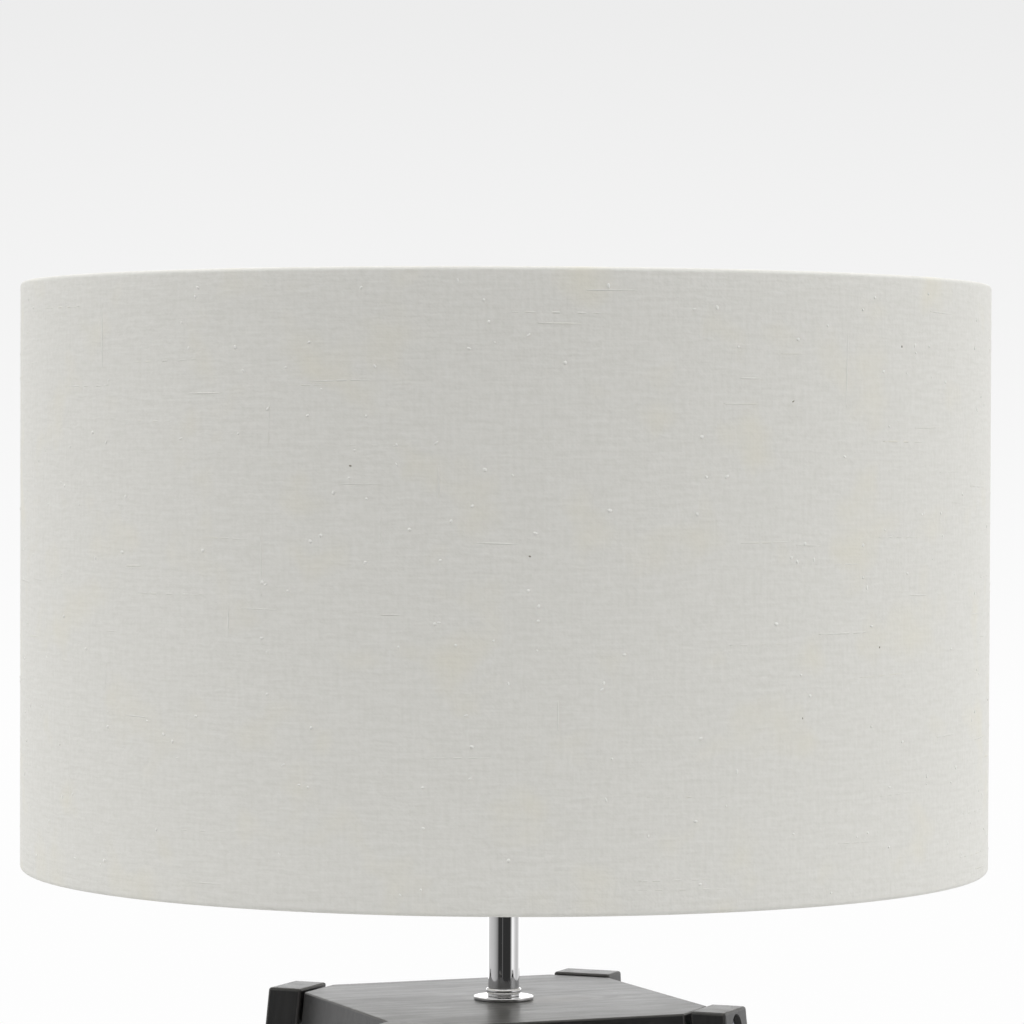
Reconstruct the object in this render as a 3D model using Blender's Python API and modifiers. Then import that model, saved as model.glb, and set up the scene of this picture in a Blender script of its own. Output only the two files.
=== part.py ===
"""Table lamp: four-legged wooden base, chrome stem, lampholder, bulb and fabric drum shade.

Units are metres and +Z is up.  The lamp stands on Z = 0 with its stem on the Z axis.
The sides of the wooden base run along X and Y, and the legs stand on its diagonals.
"""

import math

import bmesh
import bpy
from mathutils import Vector

MM = 0.001
MERGE = 0.01 * MM  # points closer than this are one point

# ---- driving dimensions -----------------------------------------------------------------

GAP = 0.3 * MM  # kept between pieces that touch
OVERRUN = 5 * MM  # how far a cutter runs out past the face that it opens
EDGE = 0.8 * MM  # small rounding on the boards' edges
LEG_EDGE = 1.2 * MM  # rounding of the legs, which are handled more

# wooden base
BLOCK_TOP = 340 * MM  # height of the upper face that carries the stem
BLOCK_THICK = 16 * MM
SHELF_TOP = 92 * MM
SHELF_THICK = 12 * MM
CORNER_WIDTH = 27.5 * MM  # width of the cut across each corner of block and shelf
LEG_WIDTH = 25.8 * MM
LEG_THICK = 15.2 * MM
LEG_PROUD = 1 * MM  # how far a leg stands above the block
LEG_INNER = 87.2 * MM  # from the stem's axis to a leg's inner face, at BLOCK_TOP
SPLAY = 0.105  # outward run of a leg for each unit of drop, along the diagonal
LEG_BLOCK_GAP = 2 * MM
PAD_HEIGHT = 1.7 * MM
PAD_LENGTH = 21 * MM
PAD_WIDTH = 11 * MM
PAD_CORNER_R = 2 * MM

# bolts that hold the legs
BOLT_HEAD_R = 5.2 * MM
BOLT_HEAD_HEIGHT = 3 * MM
BOLT_SHANK_R = 2.85 * MM
BOLT_HOLD = 24 * MM  # length of shank inside the block
BOLT_SUNK = 2 * MM  # depth of the head's top below the leg's face
BOLT_KEY_R = 2.3 * MM  # hexagon socket, centre to corner
BOLT_KEY_DEPTH = 2 * MM
BOLT_TIP_CHAMFER = 0.8 * MM
BOLT_TIP_ROOM = 1 * MM  # empty depth of the bore past the tip
BORE_R = 3.15 * MM
COUNTERBORE_R = 5.5 * MM
SPACER_R = 7 * MM

# stem: radii, and heights above the block
ROD_R = 5 * MM
ROD_BORE_R = 4 * MM
STEM_BORE_R = 5.3 * MM
WASHER_R = 12.45 * MM
WASHER_THICK = 1.1 * MM
THIN_RING_R = 6.75 * MM
THIN_RING_THICK = 0.8 * MM
COLLAR_R = 7.4 * MM
COLLAR_THICK = 1.9 * MM
COLLAR_ROUNDING = 0.9 * MM
RING_ROUNDING = 0.3 * MM  # of the washers and the thin ring
TUBE_ROUNDING = 0.2 * MM
STEM_R = 6.5 * MM
STEM_END = 58 * MM
NUT_R = 9.8 * MM  # centre to corner
NUT_THICK = 6 * MM
NUT_CHAMFER = 0.5 * MM
ROD_BELOW_NUT = 3 * MM
ROD_TOP = 70 * MM
ROD_CHAMFER = 0.5 * MM
BUSH_FLANGE_R = 5.6 * MM
BUSH_BORE_R = 3.2 * MM
BUSH_DEPTH = 8 * MM
BUSH_FLANGE_THICK = 1.2 * MM
BUSH_CHAMFER = 0.5 * MM

# lampholder, heights above the block
CAP_TOP = 84 * MM
CAP_NECK_R = 9 * MM  # round the end of the rod
CAP_NECK_HEIGHT = 4 * MM
CAP_FLOOR = 6 * MM  # thickness of the cap's bottom
CAP_SHOULDER = 9 * MM  # from the cap's top down to where it narrows
HOLDER_R = 19.5 * MM
HOLDER_WALL = 1.8 * MM
HOLDER_RIM = 0.6 * MM  # chamfer of the shell's upper edge
HOLDER_TOP = 118 * MM
SEAT_BOTTOM = 86 * MM
SEAT_TOP = 88 * MM
SEAT_R = 24 * MM
INSERT_R = 16.9 * MM
INSERT_BOTTOM = 86.5 * MM
INSERT_TOP = 96 * MM
WELL_R = 6.2 * MM  # sunk middle of the insert, where the contact lies
WELL_DEPTH = 2 * MM
CONTACT_LENGTH = 8 * MM
CONTACT_WIDTH = 4 * MM
CONTACT_EDGE = 0.5 * MM
SLEEVE_R = 14.2 * MM
SLEEVE_BORE_R = 13.6 * MM
SLEEVE_TOP = 116 * MM
SCREW_RING_R = 27 * MM
SCREW_RING_BORE_R = 19.8 * MM
SCREW_RING_THICK = 7 * MM
SCREW_RING_BODY_R = 24 * MM  # above its flange
SCREW_RING_LIP = 2 * MM  # thickness of its flange
SCREW_RING_CHAMFER = 0.6 * MM
GRIP_NOTCHES = 12
GRIP_NOTCH_R = 1.2 * MM
GRIP_NOTCH_START = 0.5 * MM  # above the flange

# bulb, heights above the block
BULB_TIP = 98.6 * MM
BULB_GLOBE_R = 30 * MM
BULB_TOP = 206 * MM
BULB_CAP_R = 13.2 * MM
BULB_CAP_BOTTOM = 103 * MM
BULB_CAP_TOP = 121 * MM
BULB_NECK_TOP = 148 * MM
BULB_CAP_WALL = 0.8 * MM
BULB_CAP_TAPER = 2 * MM  # height and inset of the cone at the cap's lower end
BULB_CAP_HOLE_R = 3 * MM
BULB_CONTACT_R = 4.5 * MM
BULB_CONTACT_THICK = 1.6 * MM
BULB_INSULATOR_R = 10.5 * MM  # at its upper end
BULB_NECK_R = 21 * MM
BULB_GLOBE_WALL = 1 * MM

# shade
SHADE_R = 200 * MM
SHADE_BOTTOM = BLOCK_TOP + 55.5 * MM
SHADE_HEIGHT = 241 * MM
CLOTH_THICK = 0.5 * MM
LINER_THICK = 0.4 * MM
HEM_R = 2.7 * MM  # outer radius of the cloth rolled round each wire
WIRE_R = 1.2 * MM
ARM_R = 1.6 * MM
ARM_COUNT = 3
FITTER_R = 24.5 * MM
FITTER_BORE_R = 20.2 * MM
FITTER_THICK = 3 * MM
FITTER_ROUNDING = 0.8 * MM
ARM_FLAT_OUTER = 14 * MM  # level run of an arm inside the bottom wire
ARM_FLAT_INNER = 12 * MM  # level run of an arm outside the fitter ring

SHADE_SEGMENTS = 96
WIRE_SEGMENTS = 72
ROUND_SEGMENTS = 32
FINE_SEGMENTS = 24

LEAN = math.atan(SPLAY)  # angle between a leg and the vertical
CORNERS = {
    "front_left": math.radians(225),
    "front_right": math.radians(315),
    "back_right": math.radians(45),
    "back_left": math.radians(135),
}


# ---- helpers ----------------------------------------------------------------------------

def clear_scene():
    for obj in list(bpy.data.objects):
        bpy.data.objects.remove(obj, do_unlink=True)


def new_collection(name):
    collection = bpy.data.collections.new(name)
    bpy.context.scene.collection.children.link(collection)
    return collection


def material(name, colour, roughness, metallic=0.0):
    mat = bpy.data.materials.new(name)
    mat.use_nodes = True
    shader = mat.node_tree.nodes["Principled BSDF"]
    shader.inputs["Base Color"].default_value = (*colour, 1.0)
    shader.inputs["Roughness"].default_value = roughness
    shader.inputs["Metallic"].default_value = metallic
    mat.diffuse_color = (*colour, 1.0)
    return mat


def dark_wood(name):
    return material(name, (0.045, 0.043, 0.042), 0.45)


def chrome(name):
    return material(name, (0.78, 0.78, 0.8), 0.08, 1.0)


def zinc(name):
    return material(name, (0.7, 0.7, 0.72), 0.25, 1.0)


def brass(name):
    return material(name, (0.75, 0.6, 0.3), 0.3, 1.0)


def black_plastic(name):
    return material(name, (0.02, 0.02, 0.02), 0.4)


def place(name, mesh, mat, collection, location=(0, 0, 0), rotation=(0, 0, 0)):
    obj = bpy.data.objects.new(name, mesh)
    collection.objects.link(obj)
    obj.location = location
    obj.rotation_euler = rotation
    if mat is not None:
        mesh.materials.clear()
        mesh.materials.append(mat)
    return obj


def mesh_from_bmesh(name, bm):
    bmesh.ops.recalc_face_normals(bm, faces=bm.faces)
    mesh = bpy.data.meshes.new(name)
    bm.to_mesh(mesh)
    bm.free()
    return mesh


def shade_smooth(mesh, angle=35):
    mesh.shade_smooth()
    mesh.set_sharp_from_angle(angle=math.radians(angle))


def add_bevel(obj, width, segments=2, angle=30):
    bevel = obj.modifiers.new("Rounded edges", "BEVEL")
    bevel.width = width
    bevel.segments = segments
    bevel.limit_method = "ANGLE"
    bevel.angle_limit = math.radians(angle)


def add_screw(obj, segments):
    screw = obj.modifiers.new("Turn", "SCREW")
    screw.axis = "Z"
    screw.angle = math.tau
    screw.steps = segments
    screw.render_steps = segments
    screw.use_merge_vertices = True
    screw.merge_threshold = MERGE
    screw.use_smooth_shade = True


def turned(name, profile, mat, segments=ROUND_SEGMENTS, closed=True, collection=None,
           location=(0, 0, 0), rotation=(0, 0, 0)):
    """Turn a profile of (radius, height) points round Z.

    The points run down the outer side.  A closed profile makes a ring; an open one
    starts and ends on the axis and makes a solid.
    """
    mesh = bpy.data.meshes.new(name)
    vertices = [(radius, 0, height) for radius, height in profile]
    edges = [(i, i + 1) for i in range(len(profile) - 1)]
    if closed:
        edges.append((len(profile) - 1, 0))
    mesh.from_pydata(vertices, edges, [])
    obj = place(name, mesh, mat, collection or PARTS, location, rotation)
    add_screw(obj, segments)
    return obj


def arc(centre_r, centre_z, radius, start, end, steps):
    """Points on an arc; angles in degrees, 0 outward along the radius and 90 up."""
    points = []
    for i in range(steps + 1):
        angle = math.radians(start + (end - start) * i / steps)
        points.append((centre_r + radius * math.cos(angle), centre_z + radius * math.sin(angle)))
    return points


def ring_profile(inner, outer, bottom, top, rounding=0.0, steps=2):
    """Rectangular ring section whose two outer corners are rounded."""
    if rounding <= 0:
        return [(inner, top), (outer, top), (outer, bottom), (inner, bottom)]
    upper = arc(outer - rounding, top - rounding, rounding, 90, 0, steps)
    lower = arc(outer - rounding, bottom + rounding, rounding, 0, -90, steps)
    return [(inner, top)] + upper + lower + [(inner, bottom)]


def cylinder_mesh(name, radius, bottom, top, segments):
    bm = bmesh.new()
    bmesh.ops.create_cone(bm, cap_ends=True, segments=segments, radius1=radius, radius2=radius,
                          depth=top - bottom)
    bmesh.ops.translate(bm, verts=bm.verts, vec=(0, 0, (top + bottom) / 2))
    return mesh_from_bmesh(name, bm)


def cut(target, mesh, location=(0, 0, 0), rotation=(0, 0, 0)):
    """Subtract a mesh, placed in the world, from the target."""
    cutter = place(mesh.name, mesh, None, CUTTERS, location, rotation)
    cutter.hide_render = True
    cutter.display_type = "WIRE"
    boolean = target.modifiers.new("Cut " + mesh.name, "BOOLEAN")
    boolean.operation = "DIFFERENCE"
    boolean.solver = "EXACT"
    boolean.object = cutter


def join_solids(target, others):
    """Unite welded pieces into the target and keep only the result."""
    for other in others:
        other.hide_render = True
        other.display_type = "WIRE"
        boolean = target.modifiers.new("Weld " + other.name, "BOOLEAN")
        boolean.operation = "UNION"
        boolean.solver = "EXACT"
        boolean.object = other


def wire_object(name, points, radius, collection):
    """A round bar along straight runs between points, as a closed mesh."""
    curve = bpy.data.curves.new(name, "CURVE")
    curve.dimensions = "3D"
    curve.bevel_depth = radius
    curve.bevel_resolution = 2
    curve.use_fill_caps = True
    spline = curve.splines.new("POLY")
    spline.points.add(len(points) - 1)
    for spline_point, point in zip(spline.points, points):
        spline_point.co = (*point, 1.0)
    holder = bpy.data.objects.new(name + "_curve", curve)
    collection.objects.link(holder)
    bpy.context.view_layer.update()
    evaluated = holder.evaluated_get(bpy.context.evaluated_depsgraph_get())
    mesh = bpy.data.meshes.new_from_object(evaluated)
    bpy.data.objects.remove(holder, do_unlink=True)
    bm = bmesh.new()
    bm.from_mesh(mesh)
    bmesh.ops.remove_doubles(bm, verts=bm.verts, dist=MERGE)
    welded = mesh_from_bmesh(name, bm)
    bpy.data.meshes.remove(mesh)
    return place(name, welded, None, collection)


# ---- wooden base ------------------------------------------------------------------------

def leg_inner(height):
    """Distance from the stem's axis to a leg's inner face at a height."""
    return LEG_INNER + SPLAY * (BLOCK_TOP - height)


def corner_plate(name, top, thick):
    """Square board whose corners are cut to face the legs and whose sides follow their slope."""
    corner_cut = leg_inner(top) - LEG_BLOCK_GAP / math.cos(LEAN)
    half_top = (corner_cut + CORNER_WIDTH / 2) / math.sqrt(2)
    half_bottom = half_top + thick * SPLAY / math.sqrt(2)
    bm = bmesh.new()
    bmesh.ops.create_cube(bm, size=2)
    for vert in bm.verts:
        half = half_top if vert.co.z > 0 else half_bottom
        vert.co.x *= half
        vert.co.y *= half
        vert.co.z = 0 if vert.co.z > 0 else -thick
    uprights = [e for e in bm.edges if abs(e.verts[0].co.z - e.verts[1].co.z) > thick / 2]
    bmesh.ops.bevel(bm, geom=uprights, offset=CORNER_WIDTH / math.sqrt(2), offset_type="OFFSET",
                    segments=1, affect="EDGES")
    mesh = mesh_from_bmesh(name, bm)
    plate = place(name, mesh, dark_wood(name), PARTS, (0, 0, top))
    add_bevel(plate, EDGE)
    return plate


def bolt_seat(plate_middle, angle):
    """Place and turn of a bolt whose axis meets a plate's cut corner at its middle height."""
    height = plate_middle + (LEG_THICK + LEG_BLOCK_GAP) * math.sin(LEAN)
    outward = leg_inner(height) + LEG_THICK / math.cos(LEAN)
    location = (outward * math.cos(angle), outward * math.sin(angle), height)
    return location, (0, math.pi / 2 - LEAN, angle)


def make_leg(corner, angle):
    name = "leg_" + corner
    top = BLOCK_TOP + LEG_PROUD
    bottom = PAD_HEIGHT + GAP
    thick = LEG_THICK / math.cos(LEAN)
    bm = bmesh.new()
    bmesh.ops.create_cube(bm, size=1)
    for vert in bm.verts:
        vert.co.z = 0 if vert.co.z > 0 else bottom - top
        vert.co.x = (thick if vert.co.x > 0 else 0) - SPLAY * vert.co.z
        vert.co.y *= LEG_WIDTH
    mesh = mesh_from_bmesh(name, bm)
    distance = leg_inner(top)
    location = (distance * math.cos(angle), distance * math.sin(angle), top)
    leg = place(name, mesh, dark_wood(name), PARTS, location, (0, 0, angle))
    add_bevel(leg, LEG_EDGE, segments=3)
    return leg


def make_bolt(name, location, rotation):
    """Dome-headed bolt; local Z points out of the leg and Z = 0 is the leg's face."""
    head_top = -BOLT_SUNK
    head_bottom = head_top - BOLT_HEAD_HEIGHT
    tip = -(LEG_THICK + LEG_BLOCK_GAP + BOLT_HOLD)
    dome = [
        (0, head_top),
        (BOLT_HEAD_R * 0.55, head_top - 0.2 * MM),
        (BOLT_HEAD_R * 0.85, head_top - 0.7 * MM),
        (BOLT_HEAD_R, head_top - 1.5 * MM),
    ]
    shank = [
        (BOLT_HEAD_R, head_bottom),
        (BOLT_SHANK_R, head_bottom),
        (BOLT_SHANK_R, tip + BOLT_TIP_CHAMFER),
        (BOLT_SHANK_R - BOLT_TIP_CHAMFER, tip),
        (0, tip),
    ]
    bolt = turned(name, dome + shank, zinc(name), FINE_SEGMENTS, False, PARTS, location, rotation)
    key = cylinder_mesh(name + "_key", BOLT_KEY_R, -BOLT_SUNK - BOLT_KEY_DEPTH, 0, 6)
    cut(bolt, key, location, rotation)


def make_corner_joint(leg, plate, level, corner, plate_middle):
    """Bore leg and plate for one bolt, and add the bolt and its spacer."""
    location, rotation = bolt_seat(plate_middle, CORNERS[corner])
    label = level + "_" + corner
    face_to_plate = LEG_THICK + LEG_BLOCK_GAP
    counterbore = cylinder_mesh("counterbore_" + label, COUNTERBORE_R,
                                -BOLT_SUNK - BOLT_HEAD_HEIGHT - GAP, OVERRUN, FINE_SEGMENTS)
    through = cylinder_mesh("bore_" + label, BORE_R, -face_to_plate, OVERRUN, FINE_SEGMENTS)
    blind = cylinder_mesh("blind_bore_" + label, BORE_R, -face_to_plate - BOLT_HOLD - BOLT_TIP_ROOM,
                          -LEG_THICK, FINE_SEGMENTS)
    cut(leg, through, location, rotation)
    cut(leg, counterbore, location, rotation)
    cut(plate, blind, location, rotation)
    make_bolt("leg_bolt_" + label, location, rotation)
    spacer = ring_profile(BORE_R, SPACER_R, -face_to_plate + GAP, -LEG_THICK - GAP)
    name = "leg_spacer_" + label
    turned(name, spacer, black_plastic(name), FINE_SEGMENTS, True, PARTS, location, rotation)


def make_pad(corner, angle):
    name = "foot_pad_" + corner
    bm = bmesh.new()
    bmesh.ops.create_cube(bm, size=1)
    bmesh.ops.scale(bm, vec=(PAD_WIDTH, PAD_LENGTH, PAD_HEIGHT), verts=bm.verts)
    uprights = [e for e in bm.edges if abs(e.verts[0].co.z - e.verts[1].co.z) > PAD_HEIGHT / 2]
    bmesh.ops.bevel(bm, geom=uprights, offset=PAD_CORNER_R, offset_type="OFFSET", segments=3,
                    affect="EDGES")
    mesh = mesh_from_bmesh(name, bm)
    distance = leg_inner(0) + LEG_THICK / 2
    location = (distance * math.cos(angle), distance * math.sin(angle), PAD_HEIGHT / 2)
    place(name, mesh, material(name, (0.03, 0.03, 0.03), 0.95), PARTS, location, (0, 0, angle))


def make_base():
    block = corner_plate("top_block", BLOCK_TOP, BLOCK_THICK)
    shelf = corner_plate("lower_shelf", SHELF_TOP, SHELF_THICK)
    for corner, angle in CORNERS.items():
        leg = make_leg(corner, angle)
        make_corner_joint(leg, block, "upper", corner, BLOCK_TOP - BLOCK_THICK / 2)
        make_corner_joint(leg, shelf, "lower", corner, SHELF_TOP - SHELF_THICK / 2)
        make_pad(corner, angle)
    rod_hole = cylinder_mesh("rod_hole", STEM_BORE_R, -BLOCK_THICK - OVERRUN, OVERRUN,
                             ROUND_SEGMENTS)
    cut(block, rod_hole, (0, 0, BLOCK_TOP))


# ---- stem -------------------------------------------------------------------------------

def make_stem():
    """Washer, rings and tube on a threaded rod, clamped through the block by a nut."""
    top = BLOCK_TOP
    washer_top = top + GAP + WASHER_THICK
    ring_top = washer_top + GAP + THIN_RING_THICK
    collar_top = ring_top + GAP + COLLAR_THICK
    turned("stem_washer", ring_profile(STEM_BORE_R, WASHER_R, top + GAP, washer_top,
                                        RING_ROUNDING),
           chrome("stem_washer"))
    turned("stem_thin_ring",
           ring_profile(STEM_BORE_R, THIN_RING_R, washer_top + GAP, ring_top, RING_ROUNDING),
           chrome("stem_thin_ring"))
    turned("stem_collar",
           ring_profile(STEM_BORE_R, COLLAR_R, ring_top + GAP, collar_top, COLLAR_ROUNDING, 3),
           chrome("stem_collar"))
    turned("stem_tube",
           ring_profile(STEM_BORE_R, STEM_R, collar_top + GAP, top + STEM_END, TUBE_ROUNDING, 1),
           chrome("stem_tube"))

    block_bottom = top - BLOCK_THICK
    nut_washer_bottom = block_bottom - GAP - WASHER_THICK
    nut_bottom = nut_washer_bottom - GAP - NUT_THICK
    rod_bottom = nut_bottom - ROD_BELOW_NUT
    turned("nut_washer",
           ring_profile(STEM_BORE_R, WASHER_R, nut_washer_bottom, block_bottom - GAP, RING_ROUNDING),
           zinc("nut_washer"))
    make_nut(nut_bottom)
    turned("threaded_rod",
           ring_profile(ROD_BORE_R, ROD_R, rod_bottom, top + ROD_TOP, ROD_CHAMFER, 1),
           zinc("threaded_rod"))
    flange_top = rod_bottom - GAP
    flange_bottom = flange_top - BUSH_FLANGE_THICK
    neck_r = ROD_BORE_R - GAP
    bush = [
        (neck_r, flange_top + BUSH_DEPTH),
        (neck_r, flange_top),
        (BUSH_FLANGE_R, flange_top),
        (BUSH_FLANGE_R, flange_bottom + BUSH_CHAMFER),
        (BUSH_FLANGE_R - BUSH_CHAMFER, flange_bottom),
        (BUSH_BORE_R, flange_bottom),
        (BUSH_BORE_R, flange_top + BUSH_DEPTH),
    ]
    turned("cable_bush", bush, black_plastic("cable_bush"))


def make_nut(bottom):
    name = "rod_nut"
    nut = place(name, cylinder_mesh(name, NUT_R, 0, NUT_THICK, 6), zinc(name), PARTS,
                (0, 0, bottom))
    add_bevel(nut, NUT_CHAMFER, 1)
    cut(nut, cylinder_mesh("nut_hole", STEM_BORE_R, -OVERRUN, NUT_THICK + OVERRUN,
                           ROUND_SEGMENTS), (0, 0, bottom))


# ---- lampholder -------------------------------------------------------------------------

def make_lampholder():
    base = BLOCK_TOP
    cap_bottom = base + STEM_END + GAP
    cap_top = base + CAP_TOP
    neck_top = cap_bottom + CAP_NECK_HEIGHT
    floor = cap_bottom + CAP_FLOOR
    shoulder = cap_top - CAP_SHOULDER
    bore = HOLDER_R - HOLDER_WALL
    taper = 2 * MM  # how far the wall draws in just under the shoulder
    bulge = 3 * MM  # how far the bell stands out just over the neck
    cap = [
        (bore, cap_top),
        (HOLDER_R, cap_top),
        (HOLDER_R, shoulder),
        (HOLDER_R - taper, shoulder - 2 * taper),
        (CAP_NECK_R + bulge, neck_top + 2 * taper),
        (CAP_NECK_R, neck_top),
        (CAP_NECK_R, cap_bottom),
        (STEM_BORE_R, cap_bottom),
        (STEM_BORE_R, floor),
        (CAP_NECK_R, floor + bulge),
        (bore - taper, shoulder - bulge),
        (bore, shoulder),
    ]
    turned("holder_cap", cap, black_plastic("holder_cap"))

    shell_bottom = cap_top + GAP
    shell_top = base + HOLDER_TOP
    shell = [
        (bore, shell_top),
        (HOLDER_R - HOLDER_RIM, shell_top),
        (HOLDER_R, shell_top - HOLDER_RIM),
        (HOLDER_R, base + SEAT_TOP),
        (SEAT_R, base + SEAT_TOP),
        (SEAT_R, base + SEAT_BOTTOM),
        (HOLDER_R, base + SEAT_BOTTOM),
        (HOLDER_R, shell_bottom),
        (bore, shell_bottom),
    ]
    turned("holder_shell", shell, black_plastic("holder_shell"))

    well_floor = base + INSERT_TOP - WELL_DEPTH
    insert = [
        (0, well_floor),
        (WELL_R, well_floor),
        (WELL_R, base + INSERT_TOP),
        (INSERT_R, base + INSERT_TOP),
        (INSERT_R, base + INSERT_BOTTOM),
        (0, base + INSERT_BOTTOM),
    ]
    turned("holder_insert", insert, material("holder_insert", (0.85, 0.84, 0.8), 0.35),
           closed=False)

    sleeve = ring_profile(SLEEVE_BORE_R, SLEEVE_R, base + INSERT_TOP + GAP, base + SLEEVE_TOP)
    turned("holder_sleeve", sleeve, brass("holder_sleeve"))
    make_contact(well_floor + GAP)


def make_contact(bottom):
    """Brass tongue that the bulb's tip presses on."""
    name = "holder_contact"
    top = BLOCK_TOP + BULB_TIP - GAP
    bm = bmesh.new()
    bmesh.ops.create_cube(bm, size=1)
    bmesh.ops.scale(bm, vec=(CONTACT_LENGTH, CONTACT_WIDTH, top - bottom),
                    verts=bm.verts)
    mesh = mesh_from_bmesh(name, bm)
    tongue = place(name, mesh, brass(name), PARTS, (0, 0, (top + bottom) / 2))
    add_bevel(tongue, CONTACT_EDGE)


def make_screw_ring():
    """Ring nut that clamps the shade's fitter on the holder's seat."""
    name = "shade_screw_ring"
    bottom = BLOCK_TOP + SEAT_TOP + FITTER_THICK + 2 * GAP
    profile = [
        (SCREW_RING_BORE_R, SCREW_RING_THICK),
        (SCREW_RING_BODY_R - SCREW_RING_CHAMFER, SCREW_RING_THICK),
        (SCREW_RING_BODY_R, SCREW_RING_THICK - SCREW_RING_CHAMFER),
        (SCREW_RING_BODY_R, SCREW_RING_LIP),
        (SCREW_RING_R, SCREW_RING_LIP),
        (SCREW_RING_R, 0),
        (SCREW_RING_BORE_R, 0),
    ]
    ring = turned(name, profile, black_plastic(name), 3 * GRIP_NOTCHES, location=(0, 0, bottom))
    for i in range(GRIP_NOTCHES):
        angle = math.tau * (i + 0.5) / GRIP_NOTCHES
        notch = cylinder_mesh(f"grip_notch_{i}", GRIP_NOTCH_R, SCREW_RING_LIP + GRIP_NOTCH_START,
                              SCREW_RING_THICK + OVERRUN, 6)
        centre = (SCREW_RING_BODY_R * math.cos(angle), SCREW_RING_BODY_R * math.sin(angle), bottom)
        cut(ring, notch, centre, (0, 0, angle))


# ---- bulb -------------------------------------------------------------------------------

def make_bulb():
    base = BLOCK_TOP
    tip = base + BULB_TIP
    cap_bottom = base + BULB_CAP_BOTTOM
    cap_top = base + BULB_CAP_TOP
    neck_top = base + BULB_NECK_TOP
    contact_top = tip + BULB_CONTACT_THICK
    turned("bulb_contact", [
        (0, contact_top),
        (BULB_CONTACT_R, contact_top),
        (BULB_CONTACT_R, tip + BULB_CONTACT_THICK / 2),
        (BULB_CONTACT_R * 0.6, tip),
        (0, tip),
    ], zinc("bulb_contact"), FINE_SEGMENTS, False)
    turned("bulb_insulator", [
        (0, cap_bottom - GAP),
        (BULB_INSULATOR_R, cap_bottom - GAP),
        (BULB_CONTACT_R + 1 * MM, contact_top + GAP),
        (0, contact_top + GAP),
    ], material("bulb_insulator", (0.02, 0.02, 0.02), 0.2), FINE_SEGMENTS, False)
    cone_r = BULB_CAP_R - BULB_CAP_TAPER
    cap_inner = BULB_CAP_R - BULB_CAP_WALL
    turned("bulb_cap", [
        (cap_inner, cap_top),
        (BULB_CAP_R, cap_top),
        (BULB_CAP_R, cap_bottom + BULB_CAP_TAPER),
        (cone_r, cap_bottom),
        (BULB_CAP_HOLE_R, cap_bottom),
        (BULB_CAP_HOLE_R, cap_bottom + BULB_CAP_WALL),
        (cone_r - BULB_CAP_WALL / 2, cap_bottom + BULB_CAP_WALL),
        (cap_inner, cap_bottom + BULB_CAP_TAPER + BULB_CAP_WALL / 2),
    ], zinc("bulb_cap"))
    collar_r = BULB_CAP_R + 1 * MM
    turned("bulb_neck", [
        (0, neck_top),
        (BULB_NECK_R, neck_top),
        (BULB_NECK_R - 3.5 * MM, neck_top - 12 * MM),
        (collar_r + GAP, cap_top + 4 * MM),
        (collar_r, cap_top + GAP),
        (0, cap_top + GAP),
    ], material("bulb_neck", (0.85, 0.85, 0.85), 0.35), ROUND_SEGMENTS, False)
    centre = base + BULB_TOP - BULB_GLOBE_R
    globe_bottom = neck_top + GAP
    wall_r = BULB_GLOBE_R - BULB_GLOBE_WALL
    start = math.degrees(math.asin((globe_bottom - centre) / BULB_GLOBE_R))
    wall_start = math.degrees(math.asin((globe_bottom - centre) / wall_r))
    skin = arc(0, centre, BULB_GLOBE_R, 90, start, 12)
    wall = arc(0, centre, wall_r, wall_start, 90, 10)
    skin[0] = (0, centre + BULB_GLOBE_R)
    wall[-1] = (0, centre + wall_r)
    turned("bulb_globe", skin + wall, material("bulb_globe", (0.9, 0.9, 0.88), 0.3),
           ROUND_SEGMENTS, False)


# ---- shade ------------------------------------------------------------------------------

def make_shade_cloth():
    """Cloth skin rolled round a wire at both edges."""
    top = SHADE_BOTTOM + SHADE_HEIGHT
    hem_axis = SHADE_R - HEM_R
    inner_r = HEM_R - CLOTH_THICK
    outer_top = arc(hem_axis, top - HEM_R, HEM_R, 180, 0, 4)
    outer_bottom = arc(hem_axis, SHADE_BOTTOM + HEM_R, HEM_R, 0, -180, 4)
    inner_bottom = arc(hem_axis, SHADE_BOTTOM + HEM_R, inner_r, -180, 0, 3)
    inner_top = arc(hem_axis, top - HEM_R, inner_r, 0, 180, 3)
    name = "shade_cloth"
    turned(name, outer_top + outer_bottom + inner_bottom + inner_top,
           material(name, (0.62, 0.61, 0.57), 0.9), SHADE_SEGMENTS)


def make_shade_liner():
    name = "shade_liner"
    outer = SHADE_R - CLOTH_THICK - GAP
    bottom = SHADE_BOTTOM + HEM_R
    top = SHADE_BOTTOM + SHADE_HEIGHT - HEM_R
    turned(name, ring_profile(outer - LINER_THICK, outer, bottom, top),
           material(name, (0.8, 0.8, 0.78), 0.6), SHADE_SEGMENTS)


def wire_ring_profile(height):
    circle = arc(SHADE_R - HEM_R, height, WIRE_R, 90, -270, 6)
    return circle[:-1]


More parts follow.
